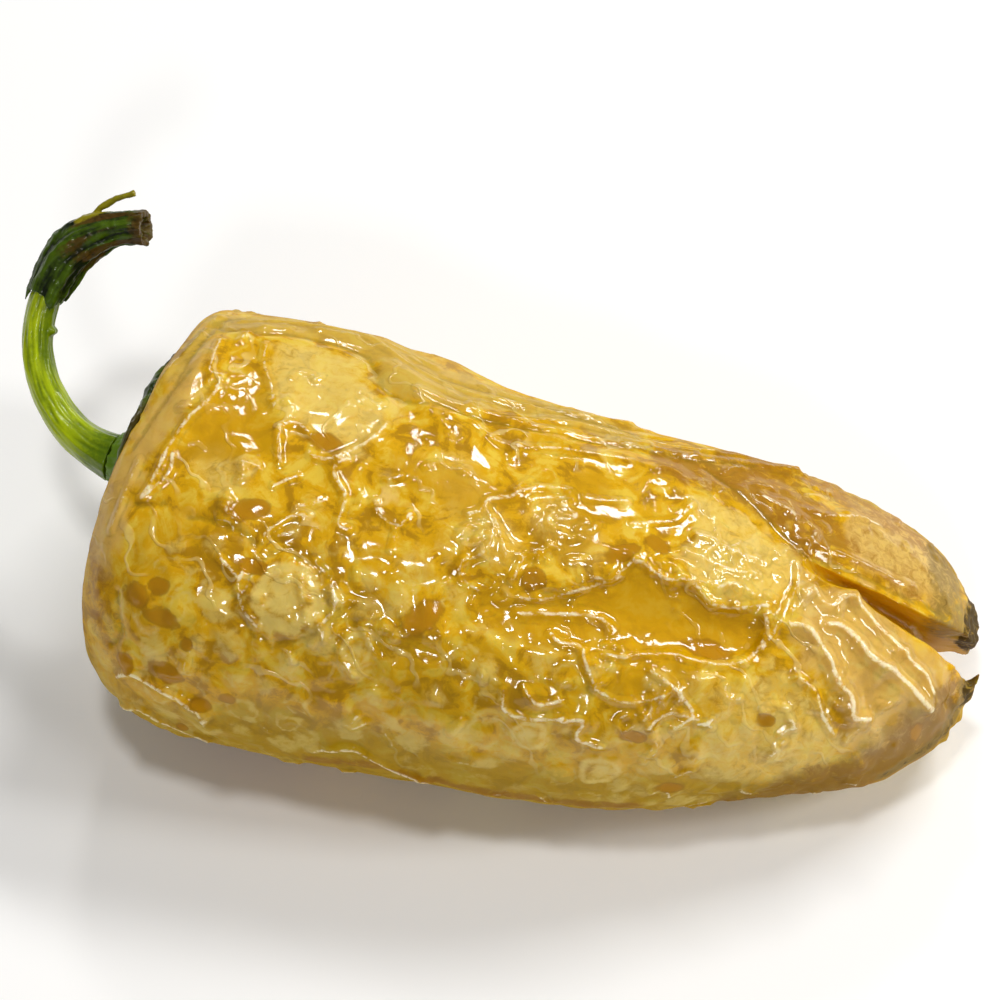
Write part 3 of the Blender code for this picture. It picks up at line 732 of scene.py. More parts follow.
@dataclass(frozen=True)
class RoastedSkin:
    """Roasted pepper skin: a loose translucent film, wet with oil, over soft golden flesh.

    The film gives sharp wet highlights on its folds, and its pale crest lines are widened into painted
    highlights on the near lobe. The flesh under it glows and is cloudy, olive between the blisters,
    amber where it is thin and brown where it caught the heat. Painted shade darkens the grooves between
    the blisters, the creases, the feet of the folds, the blister rims, the near lobe's underside and
    both flanks.

    Args:
        deep: The flesh's colour where it is deepest.
        gold: Its colour for the most part.
        cloudy: Its colour in the pale clouds.
        line: The colour of the film's thin streaks.
        layers: The coats of colour over the flesh, from the lowest to the top one.
        roughness: The roughness of the flesh.
        sheen: How much light the flesh throws back by itself, under the film.
        flesh_ior: The flesh's index of refraction, near that of water.
        wetness: The weight of the oil on the film.
        burnt_wetness: The same where the skin is burnt dry.
        low_wetness: What is left of it on the low flank, which has drained.
        edge_gloss: What is left of it where the skin is seen at a slant.
        wet_roughness: The roughness of the oil.
        oil_ior: The oil's index of refraction.
        glow: How much of the light goes through the flesh.
        glow_reach: How far it goes.
        glow_colours: How far red, green and blue go, as shares of that.
        cloud_grain: The size of the clouds.
        fine_grain: The size of the mottling in them.
        crest_height: How far the film stands up along its pale lines.
        ripple_grain: The width of its soft ripples.
        ripple_height: Their height.
        streak_spacing: The distance between its streaks.
        streak_height: Their height.
        pore_grain: The size of the pores, drawn as coarse as they need to be to show.
        pore_height: Their depth.
    """

    deep: str = "#B08000"
    gold: str = "#D6A200"
    cloudy: str = "#E2C040"
    line: str = "#F4DC90"
    layers: tuple[Layer, ...] = (
        # Olive flesh, and painted shade on the flanks.
        Layer(Paint.OLIVE, "#A08000", 0.15, 0.85, 0.65, 0.9),
        Layer(Paint.KHAKI, "#C8A648", 0.15, 0.9, 0.72, 0.6),
        Layer(Paint.CREAM, "#E6CA6E", 0.15, 0.95, 0.7, 0.8),
        Layer(Paint.PEACH, "#D4AC5C", 0.15, 0.9, 0.72, 0.7),
        Layer(Paint.AMBER, "#C69400", 0.15, 0.9, 0.75, 0.7),
        Layer(Paint.CELL, "#DCC268", 0.15, 0.95, 0.6, 1.1),
        Layer(Paint.BROWN, "#966000", 0.25, 0.9, 0.75, 1.5),
        # Painted shade: beside the folds, in the grooves between blisters, round the blister rims and under
        # the near lobe.
        Layer(Paint.SHADE, "#846200", 0.3, 1.0, 0.6, 0.8),
        # Painted shade in the creases.
        Layer(Paint.CREASE, "#7A6400", 0.5, 1.0, 0.4, 0.8),
        Layer(Paint.SEED, "#946400", 0.52, 0.74, 0.65, 0.3),
        Layer(Paint.SEED, "#B47E00", 0.66, 0.92, 0.85, 0.3),
        # Pale film lines on the fold crests, partly painted highlight.
        Layer(Paint.CREST, "#FFF2CC", 0.78, 1.0, 0.75, 0.35),
        Layer(Paint.FLESH, "#D2A008", 0.4, 0.8, 0.95, 0.1),
        Layer(Paint.CHAR, "#8A7030", 0.1, 0.5, 0.8, 1.3),
        Layer(Paint.CHAR, "#40300E", 0.55, 0.95, 0.9, 1.4),
    )
    roughness: float = 0.5
    sheen: float = 0.05
    flesh_ior: float = 1.4
    wetness: float = 0.78
    burnt_wetness: float = 0.15
    low_wetness: float = 0.25
    edge_gloss: float = 0.1
    wet_roughness: float = 0.09
    oil_ior: float = 1.55
    glow: float = 0.3
    glow_reach: float = 2.0 * MM
    glow_colours: tuple[float, float, float] = (1.0, 0.68, 0.16)
    cloud_grain: float = 3.4 * MM
    fine_grain: float = 1.0 * MM
    crest_height: float = 0.09 * MM
    ripple_grain: float = 2.2 * MM
    ripple_height: float = 0.055 * MM
    streak_spacing: float = 2.6 * MM
    streak_height: float = 0.05 * MM
    pore_grain: float = 0.35 * MM
    pore_height: float = 0.006 * MM

    def material(self) -> bpy.types.Material:
        """Builds the finish.

        Returns:
            The material.
        """
        made, shader, place = start_material("roasted_pepper_skin")
        tree = made.node_tree
        streaks = self.streaks(tree, place)
        film = self.film(tree, place, streaks)
        fill(tree, shader, {
            "Base Color": self.flesh(tree, place, streaks), "Normal": film, "Coat Normal": film,
            "Coat Weight": self.oil(tree), "Coat Roughness": self.wet_roughness, "Coat IOR": self.oil_ior,
            "Roughness": self.roughness, "Specular IOR Level": self.sheen, "IOR": self.flesh_ior,
            "Subsurface Weight": self.glow, "Subsurface Radius": self.glow_colours,
            "Subsurface Scale": self.glow_reach})
        return made

    def oil(self, tree: bpy.types.NodeTree) -> bpy.types.NodeSocket:
        """Adds how wet the film is: less where it is burnt, on the low flank and at a slant.

        Args:
            tree: The node tree.

        Returns:
            The weight of the oil.
        """
        char = add_node(tree, "ShaderNodeAttribute", attribute_name=Paint.CHAR.value)
        dry = add_node(tree, "ShaderNodeMapRange", {
            "Value": char.outputs["Fac"], "From Min": 0.3, "From Max": 0.8, "To Min": self.wetness,
            "To Max": self.burnt_wetness})
        slant = add_node(tree, "ShaderNodeLayerWeight", {"Blend": 0.5})
        seen = add_node(tree, "ShaderNodeMapRange", {
            "Value": slant.outputs["Facing"], "From Min": 0.42, "From Max": 0.85, "To Min": 1.0,
            "To Max": self.edge_gloss})
        low = add_node(tree, "ShaderNodeAttribute", attribute_name=Paint.MATT.value)
        drained = add_node(tree, "ShaderNodeMapRange", {
            "Value": low.outputs["Fac"], "To Min": 1.0, "To Max": self.low_wetness})
        weight = add_node(tree, "ShaderNodeMath", {0: dry.outputs[0], 1: seen.outputs[0]},
                          operation="MULTIPLY")
        return add_node(tree, "ShaderNodeMath", {0: weight.outputs[0], 1: drained.outputs[0]},
                        operation="MULTIPLY").outputs[0]

    def flesh(
        self, tree: bpy.types.NodeTree, place: bpy.types.NodeSocket, streaks: bpy.types.NodeSocket,
    ) -> bpy.types.NodeSocket:
        """Adds the cloudy colours of the flesh and the coats over it.

        Args:
            tree: The node tree.
            place: The Object coordinates.
            streaks: The film's streaks, from 0 to 1.

        Returns:
            The colour.
        """
        cloud = add_node(tree, "ShaderNodeTexNoise", {
            "Vector": place, "Scale": 1 / self.cloud_grain, "Detail": 4.0, "Roughness": 0.55,
            "Distortion": 1.2})
        fine = add_node(tree, "ShaderNodeTexNoise", {
            "Vector": place, "Scale": 1 / self.fine_grain, "Detail": 5.0, "Roughness": 0.65,
            "Distortion": 0.8})
        tone = add_node(tree, "ShaderNodeMath", {0: cloud.outputs[0], 1: 3.0, 2: fine.outputs[0]},
                        operation="MULTIPLY_ADD")
        tone = add_node(tree, "ShaderNodeMath", {0: tone.outputs[0], 1: 0.25}, operation="MULTIPLY")
        low = add_node(tree, "ShaderNodeMapRange", {
            "Value": tone.outputs[0], "From Min": 0.40, "From Max": 0.50}, interpolation_type="SMOOTHSTEP")
        high = add_node(tree, "ShaderNodeMapRange", {
            "Value": tone.outputs[0], "From Min": 0.50, "From Max": 0.62, "To Max": 0.85},
            interpolation_type="SMOOTHSTEP")
        golden = add_node(tree, "ShaderNodeMixRGB", {
            0: low.outputs[0], 1: linear(self.deep), 2: linear(self.gold)})
        clouded = add_node(tree, "ShaderNodeMixRGB", {
            0: high.outputs[0], 1: golden.outputs[0], 2: linear(self.cloudy)})
        thinned = add_node(tree, "ShaderNodeMath", {0: streaks, 1: 0.4}, operation="MULTIPLY")
        streaked = add_node(tree, "ShaderNodeMixRGB", {
            0: thinned.outputs[0], 1: clouded.outputs[0], 2: linear(self.line)})
        return lay_coats(tree, streaked.outputs[0], self.layers, fine.outputs[0])

    def streaks(self, tree: bpy.types.NodeTree, place: bpy.types.NodeSocket) -> bpy.types.NodeSocket:
        """Adds thin flowing streaks where the film is drawn together.

        Args:
            tree: The node tree.
            place: The Object coordinates.

        Returns:
            1 on a streak, 0 beside it.
        """
        flow = add_node(tree, "ShaderNodeTexWave", {
            "Vector": place, "Scale": WAVE_LENGTH / self.streak_spacing, "Distortion": 11.0, "Detail": 2.0,
            "Detail Scale": 1.6, "Detail Roughness": 0.5}, bands_direction="DIAGONAL")
        thin = add_node(tree, "ShaderNodeMapRange", {
            "Value": flow.outputs["Fac"], "From Min": 0.86, "From Max": 1.0}, interpolation_type="SMOOTHSTEP")
        areas = add_node(tree, "ShaderNodeTexNoise", {
            "Vector": place, "Scale": 0.35 / self.streak_spacing, "Detail": 2.0})
        some = add_node(tree, "ShaderNodeMapRange", {
            "Value": areas.outputs[0], "From Min": 0.48, "From Max": 0.6}, interpolation_type="SMOOTHSTEP")
        return add_node(tree, "ShaderNodeMath", {0: thin.outputs[0], 1: some.outputs[0]},
                        operation="MULTIPLY").outputs[0]

    def film(
        self, tree: bpy.types.NodeTree, place: bpy.types.NodeSocket, streaks: bpy.types.NodeSocket,
    ) -> bpy.types.NodeSocket:
        """Adds the unevenness of the film: its sharp crests, soft ripples, streaks and pores.

        Args:
            tree: The node tree.
            place: The Object coordinates.
            streaks: The film's streaks, from 0 to 1.

        Returns:
            The normal that they give.
        """
        ripples = add_node(tree, "ShaderNodeTexNoise", {
            "Vector": place, "Scale": 1 / self.ripple_grain, "Detail": 2.0, "Roughness": 0.45,
            "Distortion": 0.8})
        rippled = add_node(tree, "ShaderNodeBump", {
            "Height": ripples.outputs[0], "Distance": self.ripple_height, "Strength": 1.0})
        crests = add_node(tree, "ShaderNodeAttribute", attribute_name=Paint.CREST.value)
        sharp = add_node(tree, "ShaderNodeMapRange", {
            "Value": crests.outputs["Fac"], "From Min": 0.25, "From Max": 1.0},
            interpolation_type="SMOOTHSTEP")
        folded = add_node(tree, "ShaderNodeBump", {
            "Height": sharp.outputs[0], "Distance": self.crest_height, "Strength": 1.0,
            "Normal": rippled.outputs["Normal"]})
        streaked = add_node(tree, "ShaderNodeBump", {
            "Height": streaks, "Distance": self.streak_height, "Strength": 1.0,
            "Normal": folded.outputs["Normal"]})
        pores = add_node(tree, "ShaderNodeTexNoise", {
            "Vector": place, "Scale": 1 / self.pore_grain, "Detail": 3.0, "Roughness": 0.55})
        return add_node(tree, "ShaderNodeBump", {
            "Height": pores.outputs[0], "Distance": self.pore_height, "Strength": 1.0,
            "Normal": streaked.outputs["Normal"]}).outputs["Normal"]


@dataclass(frozen=True)
class GreenStalk:
    """Fresh green stalk, barely cooked: waxy skin with fine lengthwise fibres.

    Args:
        name: The material's name.
        deep: The colour between the fibres.
        bright: The colour on them.
        layers: Coats of colour over both.
        roughness: The wax's roughness.
        wetness: The weight of the oil on it.
        wet_roughness: The roughness of the oil.
        sheen: How much light the wax throws back.
        glow: How much of the light goes through the stalk.
        glow_reach: How far it goes.
        glow_colours: How far red, green and blue go, as shares of that.
        grain: The width of the finest fibres.
        fibre_height: Their height.
    """

    name: str
    deep: str
    bright: str
    layers: tuple[Layer, ...]
    roughness: float
    wetness: float
    wet_roughness: float = 0.15
    sheen: float = 0.12
    glow: float = 0.15
    glow_reach: float = 0.8 * MM
    glow_colours: tuple[float, float, float] = (0.6, 1.0, 0.2)
    grain: float = 0.5 * MM
    fibre_height: float = 0.05 * MM

    def material(self) -> bpy.types.Material:
        """Builds the finish.

        Returns:
            The material.
        """
        made, shader, place = start_material(self.name)
        tree = made.node_tree
        grain = add_node(tree, "ShaderNodeTexNoise", {
            "Vector": place, "Scale": 1 / self.grain, "Detail": 4.0, "Roughness": 0.6})
        fibres = add_node(tree, "ShaderNodeAttribute", attribute_name=Paint.RIB.value)
        mixed = add_node(tree, "ShaderNodeMath", {
            0: grain.outputs[0], 1: 0.7, 2: fibres.outputs["Fac"]}, operation="MULTIPLY_ADD")
        share = add_node(tree, "ShaderNodeMapRange", {
            "Value": mixed.outputs[0], "From Min": 0.3, "From Max": 1.2}, interpolation_type="SMOOTHSTEP")
        green = add_node(tree, "ShaderNodeMixRGB", {
            0: share.outputs[0], 1: linear(self.deep), 2: linear(self.bright)})
        fibrous = add_node(tree, "ShaderNodeBump", {
            "Height": grain.outputs[0], "Distance": self.fibre_height, "Strength": 0.7}).outputs["Normal"]
        fill(tree, shader, {
            "Base Color": lay_coats(tree, green.outputs[0], self.layers, grain.outputs[0]),
            "Normal": fibrous, "Coat Normal": fibrous, "Roughness": self.roughness,
            "Specular IOR Level": self.sheen, "Coat Weight": self.wetness,
            "Coat Roughness": self.wet_roughness, "Subsurface Weight": self.glow,
            "Subsurface Radius": self.glow_colours, "Subsurface Scale": self.glow_reach})
        return made


@dataclass
class Pod(GrownPiece):
    """The pod with its folds, blisters, seeds and burnt tips.

    Sizes are in millimetres and directions round the pod in degrees.

    Args:
        line_reach: How far a fold's pale line reaches to each side.
        thinnest: Half the width of the thinnest fold that the faces can show.
        fullness: How much of its stated height a fold gets.
        fold_grain: The size of the unevenness along a fold.
        fold_wobble: How uneven a named fold is.
        curl_wobble: How uneven a short curl is.
        skirt: How many times wider a fold's foot is than its crest.
        flank_gain: How much higher folds stand on the near flank, which the light grazes.
        far_out: From how far outside the skin is looked for.
        cell_tries: How many points are drawn as middles of the small blisters.
        cell_spacing: How far the small blisters' middles lie apart.
        cell_height: How high they stand.
        cell_seed: The start of their random draws.
        cell_share: How much of them is left outside the fields where they stand close.
        curl_seed: The start of the random draws of the curls, and one below that of the beads.
        curl_count: How many short curls are scattered over the skin.
        cluster_curls: How many more there are in each cluster.
        clusters: The middles of the clusters.
        curl_step: The length of a curl's steps along the pod, and in degrees round it.
        dot_count: How many beads there are.
        dot_height: How high a bead stands.
        seed_height: How high the skin stands over a seed.
        swell_grain: The size of the skin's broad swells.
        swell_height: Their height.
        crumple_from: Where along the pod the crumpled tips begin.
        crumple_full: Where they are fully crumpled.
        near_rim: From where to where round the near flank the flesh turns darker olive, partly painted shade.
        far_rim: The same on the far flank.
        drained: From where to where round the near flank the oil has drained.
        fade_low: The height above the floor below which the skin keeps its solid's shape.
        fade_high: The height from which it is fully carved.
        hook_lobe: From where to where round the pod the near lobe lies.
        hook_reach: How far its tip is drawn out into a hook, along X, Y and Z.
        hook_radius: How wide the hook's foot is.
    """

    node: str = "pod"
    slot: str = "roasted_skin"
    voxel_mm: float = 0.335
    smoothing: int = 3
    line_reach: float = 1.0
    thinnest: float = 0.34
    fullness: float = 0.8
    fold_grain: float = 2.4
    fold_wobble: float = 0.25
    curl_wobble: float = 0.6
    skirt: float = 2.6
    flank_gain: float = 0.5
    far_out: float = 60.0
    cell_tries: int = 9000
    cell_spacing: float = 3.8
    cell_height: float = 0.24
    cell_seed: int = 5
    cell_share: float = 0.32
    curl_seed: int = 8
    curl_count: int = 165
    cluster_curls: int = 9
    clusters: tuple[Place, ...] = (
        (20, 3), (18, -3), (5, -2), (-5, 18), (31, 56), (15, 60), (-18, 46), (-12, 47), (2, 8), (-27, 20))
    curl_step: tuple[float, float] = (0.8, 2.6)
    dot_count: int = 160
    dot_height: float = 0.16
    seed_height: float = 0.04
    swell_grain: float = 7.0
    swell_height: float = 0.22
    crumple_from: float = 41.0
    crumple_full: float = 44.0
    near_rim: tuple[float, float] = (72, 105)
    far_rim: tuple[float, float] = (50, 74)
    drained: tuple[float, float] = (70, 92)
    fade_low: float = 0.8
    fade_high: float = 4.0
    hook_lobe: tuple[float, float] = (15, 100)
    hook_reach: tuple[float, float, float] = (0.4, 1.2, 1.5)
    hook_radius: float = 0.9

    def carve(self, carving: Carving) -> None:
        """Carves and paints the pod, from its broad forms to its fine ones.

        Args:
            carving: Its points.
        """
        self.carving = carving
        mesh = carving.piece.data
        self.tree = BVHTree.FromPolygons(
            [vert.co / MM for vert in mesh.vertices], [face.vertices for face in mesh.polygons])
        self.read_places()
        self.carve_cells()
        self.carve_swells()
        self.paint_rims()
        self.carve_regions()
        self.carve_folds()
        self.carve_curls()
        self.carve_dots()
        self.carve_blisters()
        self.carve_seeds()
        self.paint_patches()
        self.paint_far_side()
        self.paint_cleft()
        carving.relief *= smooth_step(carving.points[:, 2], self.fade_low, self.fade_high)
        self.draw_hook()

    def read_places(self) -> None:
        """Finds the place on the pod of each of its points."""
        points = self.carving.points
        stations, sides, heights = zip(*POD_AXIS)
        self.x = points[:, 0]
        across = points[:, 1] - np.interp(self.x, stations, sides)
        up = points[:, 2] - np.interp(self.x, stations, heights)
        self.around = np.degrees(np.arctan2(-across, up))

    def middle(self, x: float) -> Vector:
        """The middle of the pod at x, in millimetres."""
        stations, sides, heights = zip(*POD_AXIS)
        return Vector((x, float(np.interp(x, stations, sides)), float(np.interp(x, stations, heights))))

    def on_skin(self, place: Place) -> np.ndarray:
        """The outermost point of the skin at a place on the pod, in millimetres."""
        x, around = place
        outward = Vector((0.0, -math.sin(math.radians(around)), math.cos(math.radians(around))))
        middle = self.middle(x)
        hit = self.tree.ray_cast(middle + self.far_out * outward, -outward)[0]
        return np.array(hit if hit else middle)

    def path(self, places: tuple[Place, ...], steps: int = 5) -> np.ndarray:
        """Follows the skin through some places.

        Args:
            places: The places on the pod.
            steps: The points from one place to the next.

        Returns:
            The points, in millimetres.
        """
        through = np.array(places, float)
        counts = np.linspace(0, len(through) - 1, (len(through) - 1) * steps + 1)
        eased = [self.ease(counts, through[:, axis]) for axis in (0, 1)]
        return np.array([self.on_skin(place) for place in zip(*eased)])

    def ease(self, counts: np.ndarray, values: np.ndarray) -> np.ndarray:
        """Interpolates values with rounded corners, as a Catmull-Rom curve does."""
        last = len(values) - 1
        start = np.minimum(counts.astype(int), last - 1)
        share = counts - start
        before, after = values[np.maximum(start - 1, 0)], values[np.minimum(start + 2, last)]
        a, b = values[start], values[start + 1]
        return 0.5 * (2 * a + (b - before) * share + (2 * before - 5 * a + 4 * b - after) * share ** 2
                      + (3 * a - before - 3 * b + after) * share ** 3)

    def carve_line(
        self, path: np.ndarray, height: float, width: float, pale: float, wobble: float,
    ) -> None:
        """Raises a fold, or sinks a groove, along a path and paints its pale line, partly a painted
        highlight, with painted shade beside a fold and along a groove.

        Args:
            path: Its points, in millimetres.
            height: How far it stands out.
            width: Half its width.
            pale: How pale its line is; above 1 its line widens into a painted highlight.
            wobble: How much its height changes along it.
        """
        width = max(self.thinnest, width)
        reach = max(4.5 * width, self.line_reach)
        numbers, distance = self.carving.near(path, reach)
        uneven = 1 + wobble * noise_at(self.carving.points[numbers], self.fold_grain, 20.0)
        uneven *= 1 + self.flank_gain * smooth_step(self.around[numbers], 45, 70)
        crest = np.exp(-(distance / width) ** 2)
        skirt = np.exp(-(distance / (self.skirt * width)) ** 2)
        self.carving.relief[numbers] += self.fullness * height * uneven * (0.7 * crest + 0.3 * skirt)
        line = np.clip(1 - distance / self.line_reach, 0, 1)
        if height < 0:
            # Painted shade along the groove.
            self.carving.paint_over(Paint.CREASE, line, numbers)
            return
        # The pale line on the crest, partly the film's own colour and partly a painted highlight, broader
        # where pale is above 1.
        faint = 0.78 + 0.22 * pale + 0.12 * (uneven - 1)
        self.carving.paint_over(Paint.CREST, line * faint, numbers)
        # Painted shade beside the fold.
        beside = np.exp(-((distance - 1.7 * width) / (0.7 * width)) ** 2)
        self.carving.paint_over(Paint.SHADE, 0.6 * beside, numbers)

    def carve_folds(self) -> None:
        """Raises the named folds and sinks the grooves."""
        for fold in FOLDS.values():
            self.carve_line(self.path(fold.places), fold.height, fold.width, fold.pale, self.fold_wobble)

    def carve_curls(self) -> None:
        """Scatters short crisp curls of loose film over the skin, and more where it is bunched."""
        chance = np.random.default_rng(self.curl_seed)
        starts = [(chance.uniform(-36, 40), chance.uniform(-160, 140)) for _ in range(self.curl_count)]
        for x, around in self.clusters:
            for _ in range(self.cluster_curls):
                starts.append((x + chance.normal(0, 1.8), around + chance.normal(0, 6)))
        for x, around in starts:
            heading, bend = chance.uniform(0, math.tau), chance.uniform(-1.0, 1.0)
            places = []
            for _ in range(chance.integers(2, 5)):
                places.append((x, around))
                x += self.curl_step[0] * math.cos(heading)
                around += self.curl_step[1] * math.sin(heading)
                heading += bend
            self.carve_line(
                self.path(tuple(places), 3), chance.uniform(0.14, 0.3), chance.uniform(0.3, 0.4),
                chance.uniform(0.0, 0.7), self.curl_wobble)

    def carve_dots(self) -> None:
        """Scatters small beads of juice under the film, which catch the light."""
        chance = np.random.default_rng(self.curl_seed + 1)
        for _ in range(self.dot_count):
            centre = self.on_skin((chance.uniform(-36, 40), chance.uniform(-110, 110)))
            radius = chance.uniform(0.4, 0.75)
            numbers, distance = self.carving.near(np.array((centre, centre)), 1.5 * radius)
            self.carving.relief[numbers] += self.dot_height * (1 - smooth_step(distance / radius, 0.2, 1.2))

    def cell_middles(self, chance: np.random.Generator) -> np.ndarray:
        """Draws the middles of the small blisters, none too close to another.

        Args:
            chance: The random draws.

        Returns:
            The middles, in millimetres.
        """
        points = self.carving.points
        tries = points[chance.choice(len(points), self.cell_tries, replace=False)]
        kept = tries[:1]
        for point in tries[1:]:
            if np.linalg.norm(kept - point, axis=1).min() > self.cell_spacing * 0.7:
                kept = np.vstack((kept, point))
        return kept

    def nearest_cells(self, middles: np.ndarray) -> tuple[np.ndarray, np.ndarray, np.ndarray]:
        """Finds the two small blisters that each point is nearest to, with bent and ragged borders.

        Args:
            middles: The blisters' middles, in millimetres.

        Returns:
            The distance to the nearest one, the distance to the second, and the nearest one's number.
        """
        points = self.carving.points
        cells = KDTree(len(middles))
        for number, middle in enumerate(middles):
            cells.insert(middle, number)
        cells.balance()
        warp = np.stack([
            noise_at(points, 2.6, 10.0 * axis) + 0.5 * noise_at(points, 0.9, 30.0 * axis + 5)
            for axis in range(3)], axis=1)
        found = [cells.find_n(point, 2) for point in points + 0.7 * warp]
        first, second = (np.array([pair[rank][2] for pair in found]) for rank in (0, 1))
        return first, second, np.array([pair[0][1] for pair in found])

    def carve_cells(self) -> None:
        """Raises the field of cushion-like blisters, with grooves between them, paints the blisters pale and
        paints shade in the grooves.
        """
        chance = np.random.default_rng(self.cell_seed)
        middles = self.cell_middles(chance)
        first, second, owner = self.nearest_cells(middles)
        count = len(middles)
        kinds = chance.random(count)
        reach = first / chance.uniform(1.1, 2.5, count)[owner]
        reach += 0.35 * noise_at(self.carving.points, 0.9, 60.0)
        filled = np.where(kinds < 0.5, chance.uniform(0.5, 1.0, count), 0.15)[owner]
        ringed = np.where(kinds > 0.7, chance.uniform(0.5, 0.9, count), 0.0)[owner]
        tone = filled * (1 - smooth_step(reach, 0.35, 1.15))
        tone = np.maximum(tone, ringed * np.exp(-((reach - 0.8) / 0.2) ** 2))
        crowded = np.maximum(self.stroke(NEAR_FIELD), self.stroke(FAR_FIELD))
        share = self.cell_share + (1 - self.cell_share) * crowded
        share *= 1 - 0.92 * np.maximum(self.stroke(SMOOTH_WINDOW), self.stroke(SMOOTH_BAND))
        cushion = smooth_step((second - first) / self.cell_spacing, 0.0, 0.8) - 0.6
        self.carving.relief += self.cell_height * share * cushion
        self.carving.paint_over(Paint.CELL, tone * share)
        # Painted shade in the grooves between the blisters.
        self.carving.paint_over(Paint.SHADE, 0.5 * share * smooth_step(reach, 0.9, 1.5))

    def carve_swells(self) -> None:
        """Gives the skin its broad swells, and crumples the scorched tips."""
        points = self.carving.points
        swells = noise_at(points, self.swell_grain, 3.0) * (1 - self.stroke(SMOOTH_WINDOW))
        self.carving.relief += self.swell_height * swells
        crumpled = 0.55 * noise_at(points, 1.6, 70.0) + 0.25 * noise_at(points, 0.8, 80.0)
        self.carving.relief += crumpled * smooth_step(self.x, self.crumple_from, self.crumple_full)

    def paint_rims(self) -> None:
        """Paints both flanks darker olive, partly the flesh's own colour and partly painted shade, and marks
        the near one where the oil has drained.
        """
        far, near = smooth_step(-self.around, *self.far_rim), smooth_step(self.around, *self.near_rim)
        # Painted shade, partly olive flesh, darkening both flanks.
        self.carving.paint_over(Paint.OLIVE, 0.85 * np.where(self.around < 0, far, near))
        self.carving.paint_over(Paint.MATT, smooth_step(self.around, *self.drained))

    def carve_regions(self) -> None:
        """Paints the closed areas and sets them deeper or higher."""
        for region in REGIONS.values():
            inside = self.inside(region.places, region.edge)
            self.carving.paint_over(region.paint, region.strength * inside)
            self.carving.relief += region.relief * inside

    def inside(self, places: tuple[Place, ...], edge: float) -> np.ndarray:
        """How far inside a closed outline each point is.

        Args:
            places: The outline's corners.
            edge: Half the width of its soft edge, in millimetres.

        Returns:
            1 inside it, 0 outside, and values between across the edge.
        """
        odd = np.zeros(len(self.x), bool)
        for (x0, a0), (x1, a1) in zip(places, places[1:] + places[:1]):
            if a0 == a1:
                continue
            crosses = (a0 > self.around) != (a1 > self.around)
            odd ^= crosses & (self.x < x0 + (self.around - a0) * (x1 - x0) / (a1 - a0))
        values = odd.astype(float)
        numbers, distance = self.carving.near(self.path(places + places[:1], 3), 2.2 * edge)
        points = self.carving.points[numbers]
        ragged = 0.9 * edge * (noise_at(points, 2.2, 40.0) + 0.6 * noise_at(points, 0.8, 50.0))
        signed = np.where(odd[numbers], distance, -distance) + ragged
        values[numbers] = smooth_step(signed, -edge, edge)
        return values

    def carve_blisters(self) -> None:
        """Raises the round blisters with their rims, paints them pale, and paints shade in the groove round
        each.
        """
        for blister in BLISTERS:
            centre = self.on_skin(blister.place)
            numbers, distance = self.carving.near(np.array((centre, centre)), 1.7 * blister.radius)
            points = self.carving.points[numbers]
            reach = distance / blister.radius + 0.24 * noise_at(points, 1.6, 2.0)
            reach += 0.14 * noise_at(points, 0.6, 12.0)
            ripple = 1 + 0.6 * noise_at(points, 1.1, 2.0)
            self.carving.relief[numbers] += blister.height * ripple * (1 - smooth_step(reach, 0.4, 1.1))
            self.carving.relief[numbers] += blister.rim * np.exp(-((reach - 0.95) / 0.14) ** 2)
            self.carving.relief[numbers] -= 1.3 * blister.rim * np.exp(-((reach - 1.25) / 0.14) ** 2)
            pale = np.maximum(1 - smooth_step(reach, 0.1, 0.9), np.exp(-((reach - 0.8) / 0.25) ** 2))
            pale *= 0.5 + 0.14 * blister.radius
            for paint in (Paint.SHADE, Paint.AMBER, Paint.CELL):
                self.carving.mask(paint)[numbers] *= smooth_step(reach, 0.8, 1.2)
            self.carving.paint_over(Paint.CREAM, pale * (1 - smooth_step(reach, 0.95, 1.15)), numbers)
            self.carving.paint_over(Paint.CELL, 0.8 * pale * (1 - smooth_step(reach, 0.8, 1.1)), numbers)
            # Painted shade in the groove round the rim.
            blister_rim_shade = 0.2 * blister.radius * np.exp(-((reach - 1.25) / 0.18) ** 2)
            self.carving.paint_over(Paint.SHADE, blister_rim_shade, numbers)

    def carve_seeds(self) -> None:
        """Lifts the skin over the seeds, and paints them with a darker edge."""
        for seed in SEEDS:
            centre = self.on_skin(seed.place)
            x, around = seed.place
            ahead = self.on_skin((x + 0.5, around)) - centre
            down = self.on_skin((x, around + 2)) - centre
            ahead /= np.linalg.norm(ahead)
            down -= ahead * (down @ ahead)
            down /= np.linalg.norm(down)
            turn = math.radians(seed.turn)
            long = ahead * math.cos(turn) + down * math.sin(turn)
            short = down * math.cos(turn) - ahead * math.sin(turn)
            numbers, _ = self.carving.near(np.array((centre, centre)), seed.length)
            offset = self.carving.points[numbers] - centre
            reach = np.hypot(offset @ long / (seed.length / 2), offset @ short / (seed.width / 2))
            reach *= 1 + 0.25 * offset @ long / seed.length
            reach += 0.3 * noise_at(self.carving.points[numbers], 1.1, 6.0)
            reach += 0.15 * noise_at(self.carving.points[numbers], 0.5, 16.0)
            self.carving.relief[numbers] += self.seed_height * (1 - smooth_step(reach, 0.5, 1.2))
            self.carving.paint_over(Paint.SEED, np.clip(1.5 - 0.7 * reach, 0, 1), numbers)
            self.carving.mask(Paint.CELL)[numbers] *= smooth_step(reach, 0.9, 1.4)
            self.carving.mask(Paint.CREST)[numbers] *= smooth_step(reach, 0.8, 1.1)

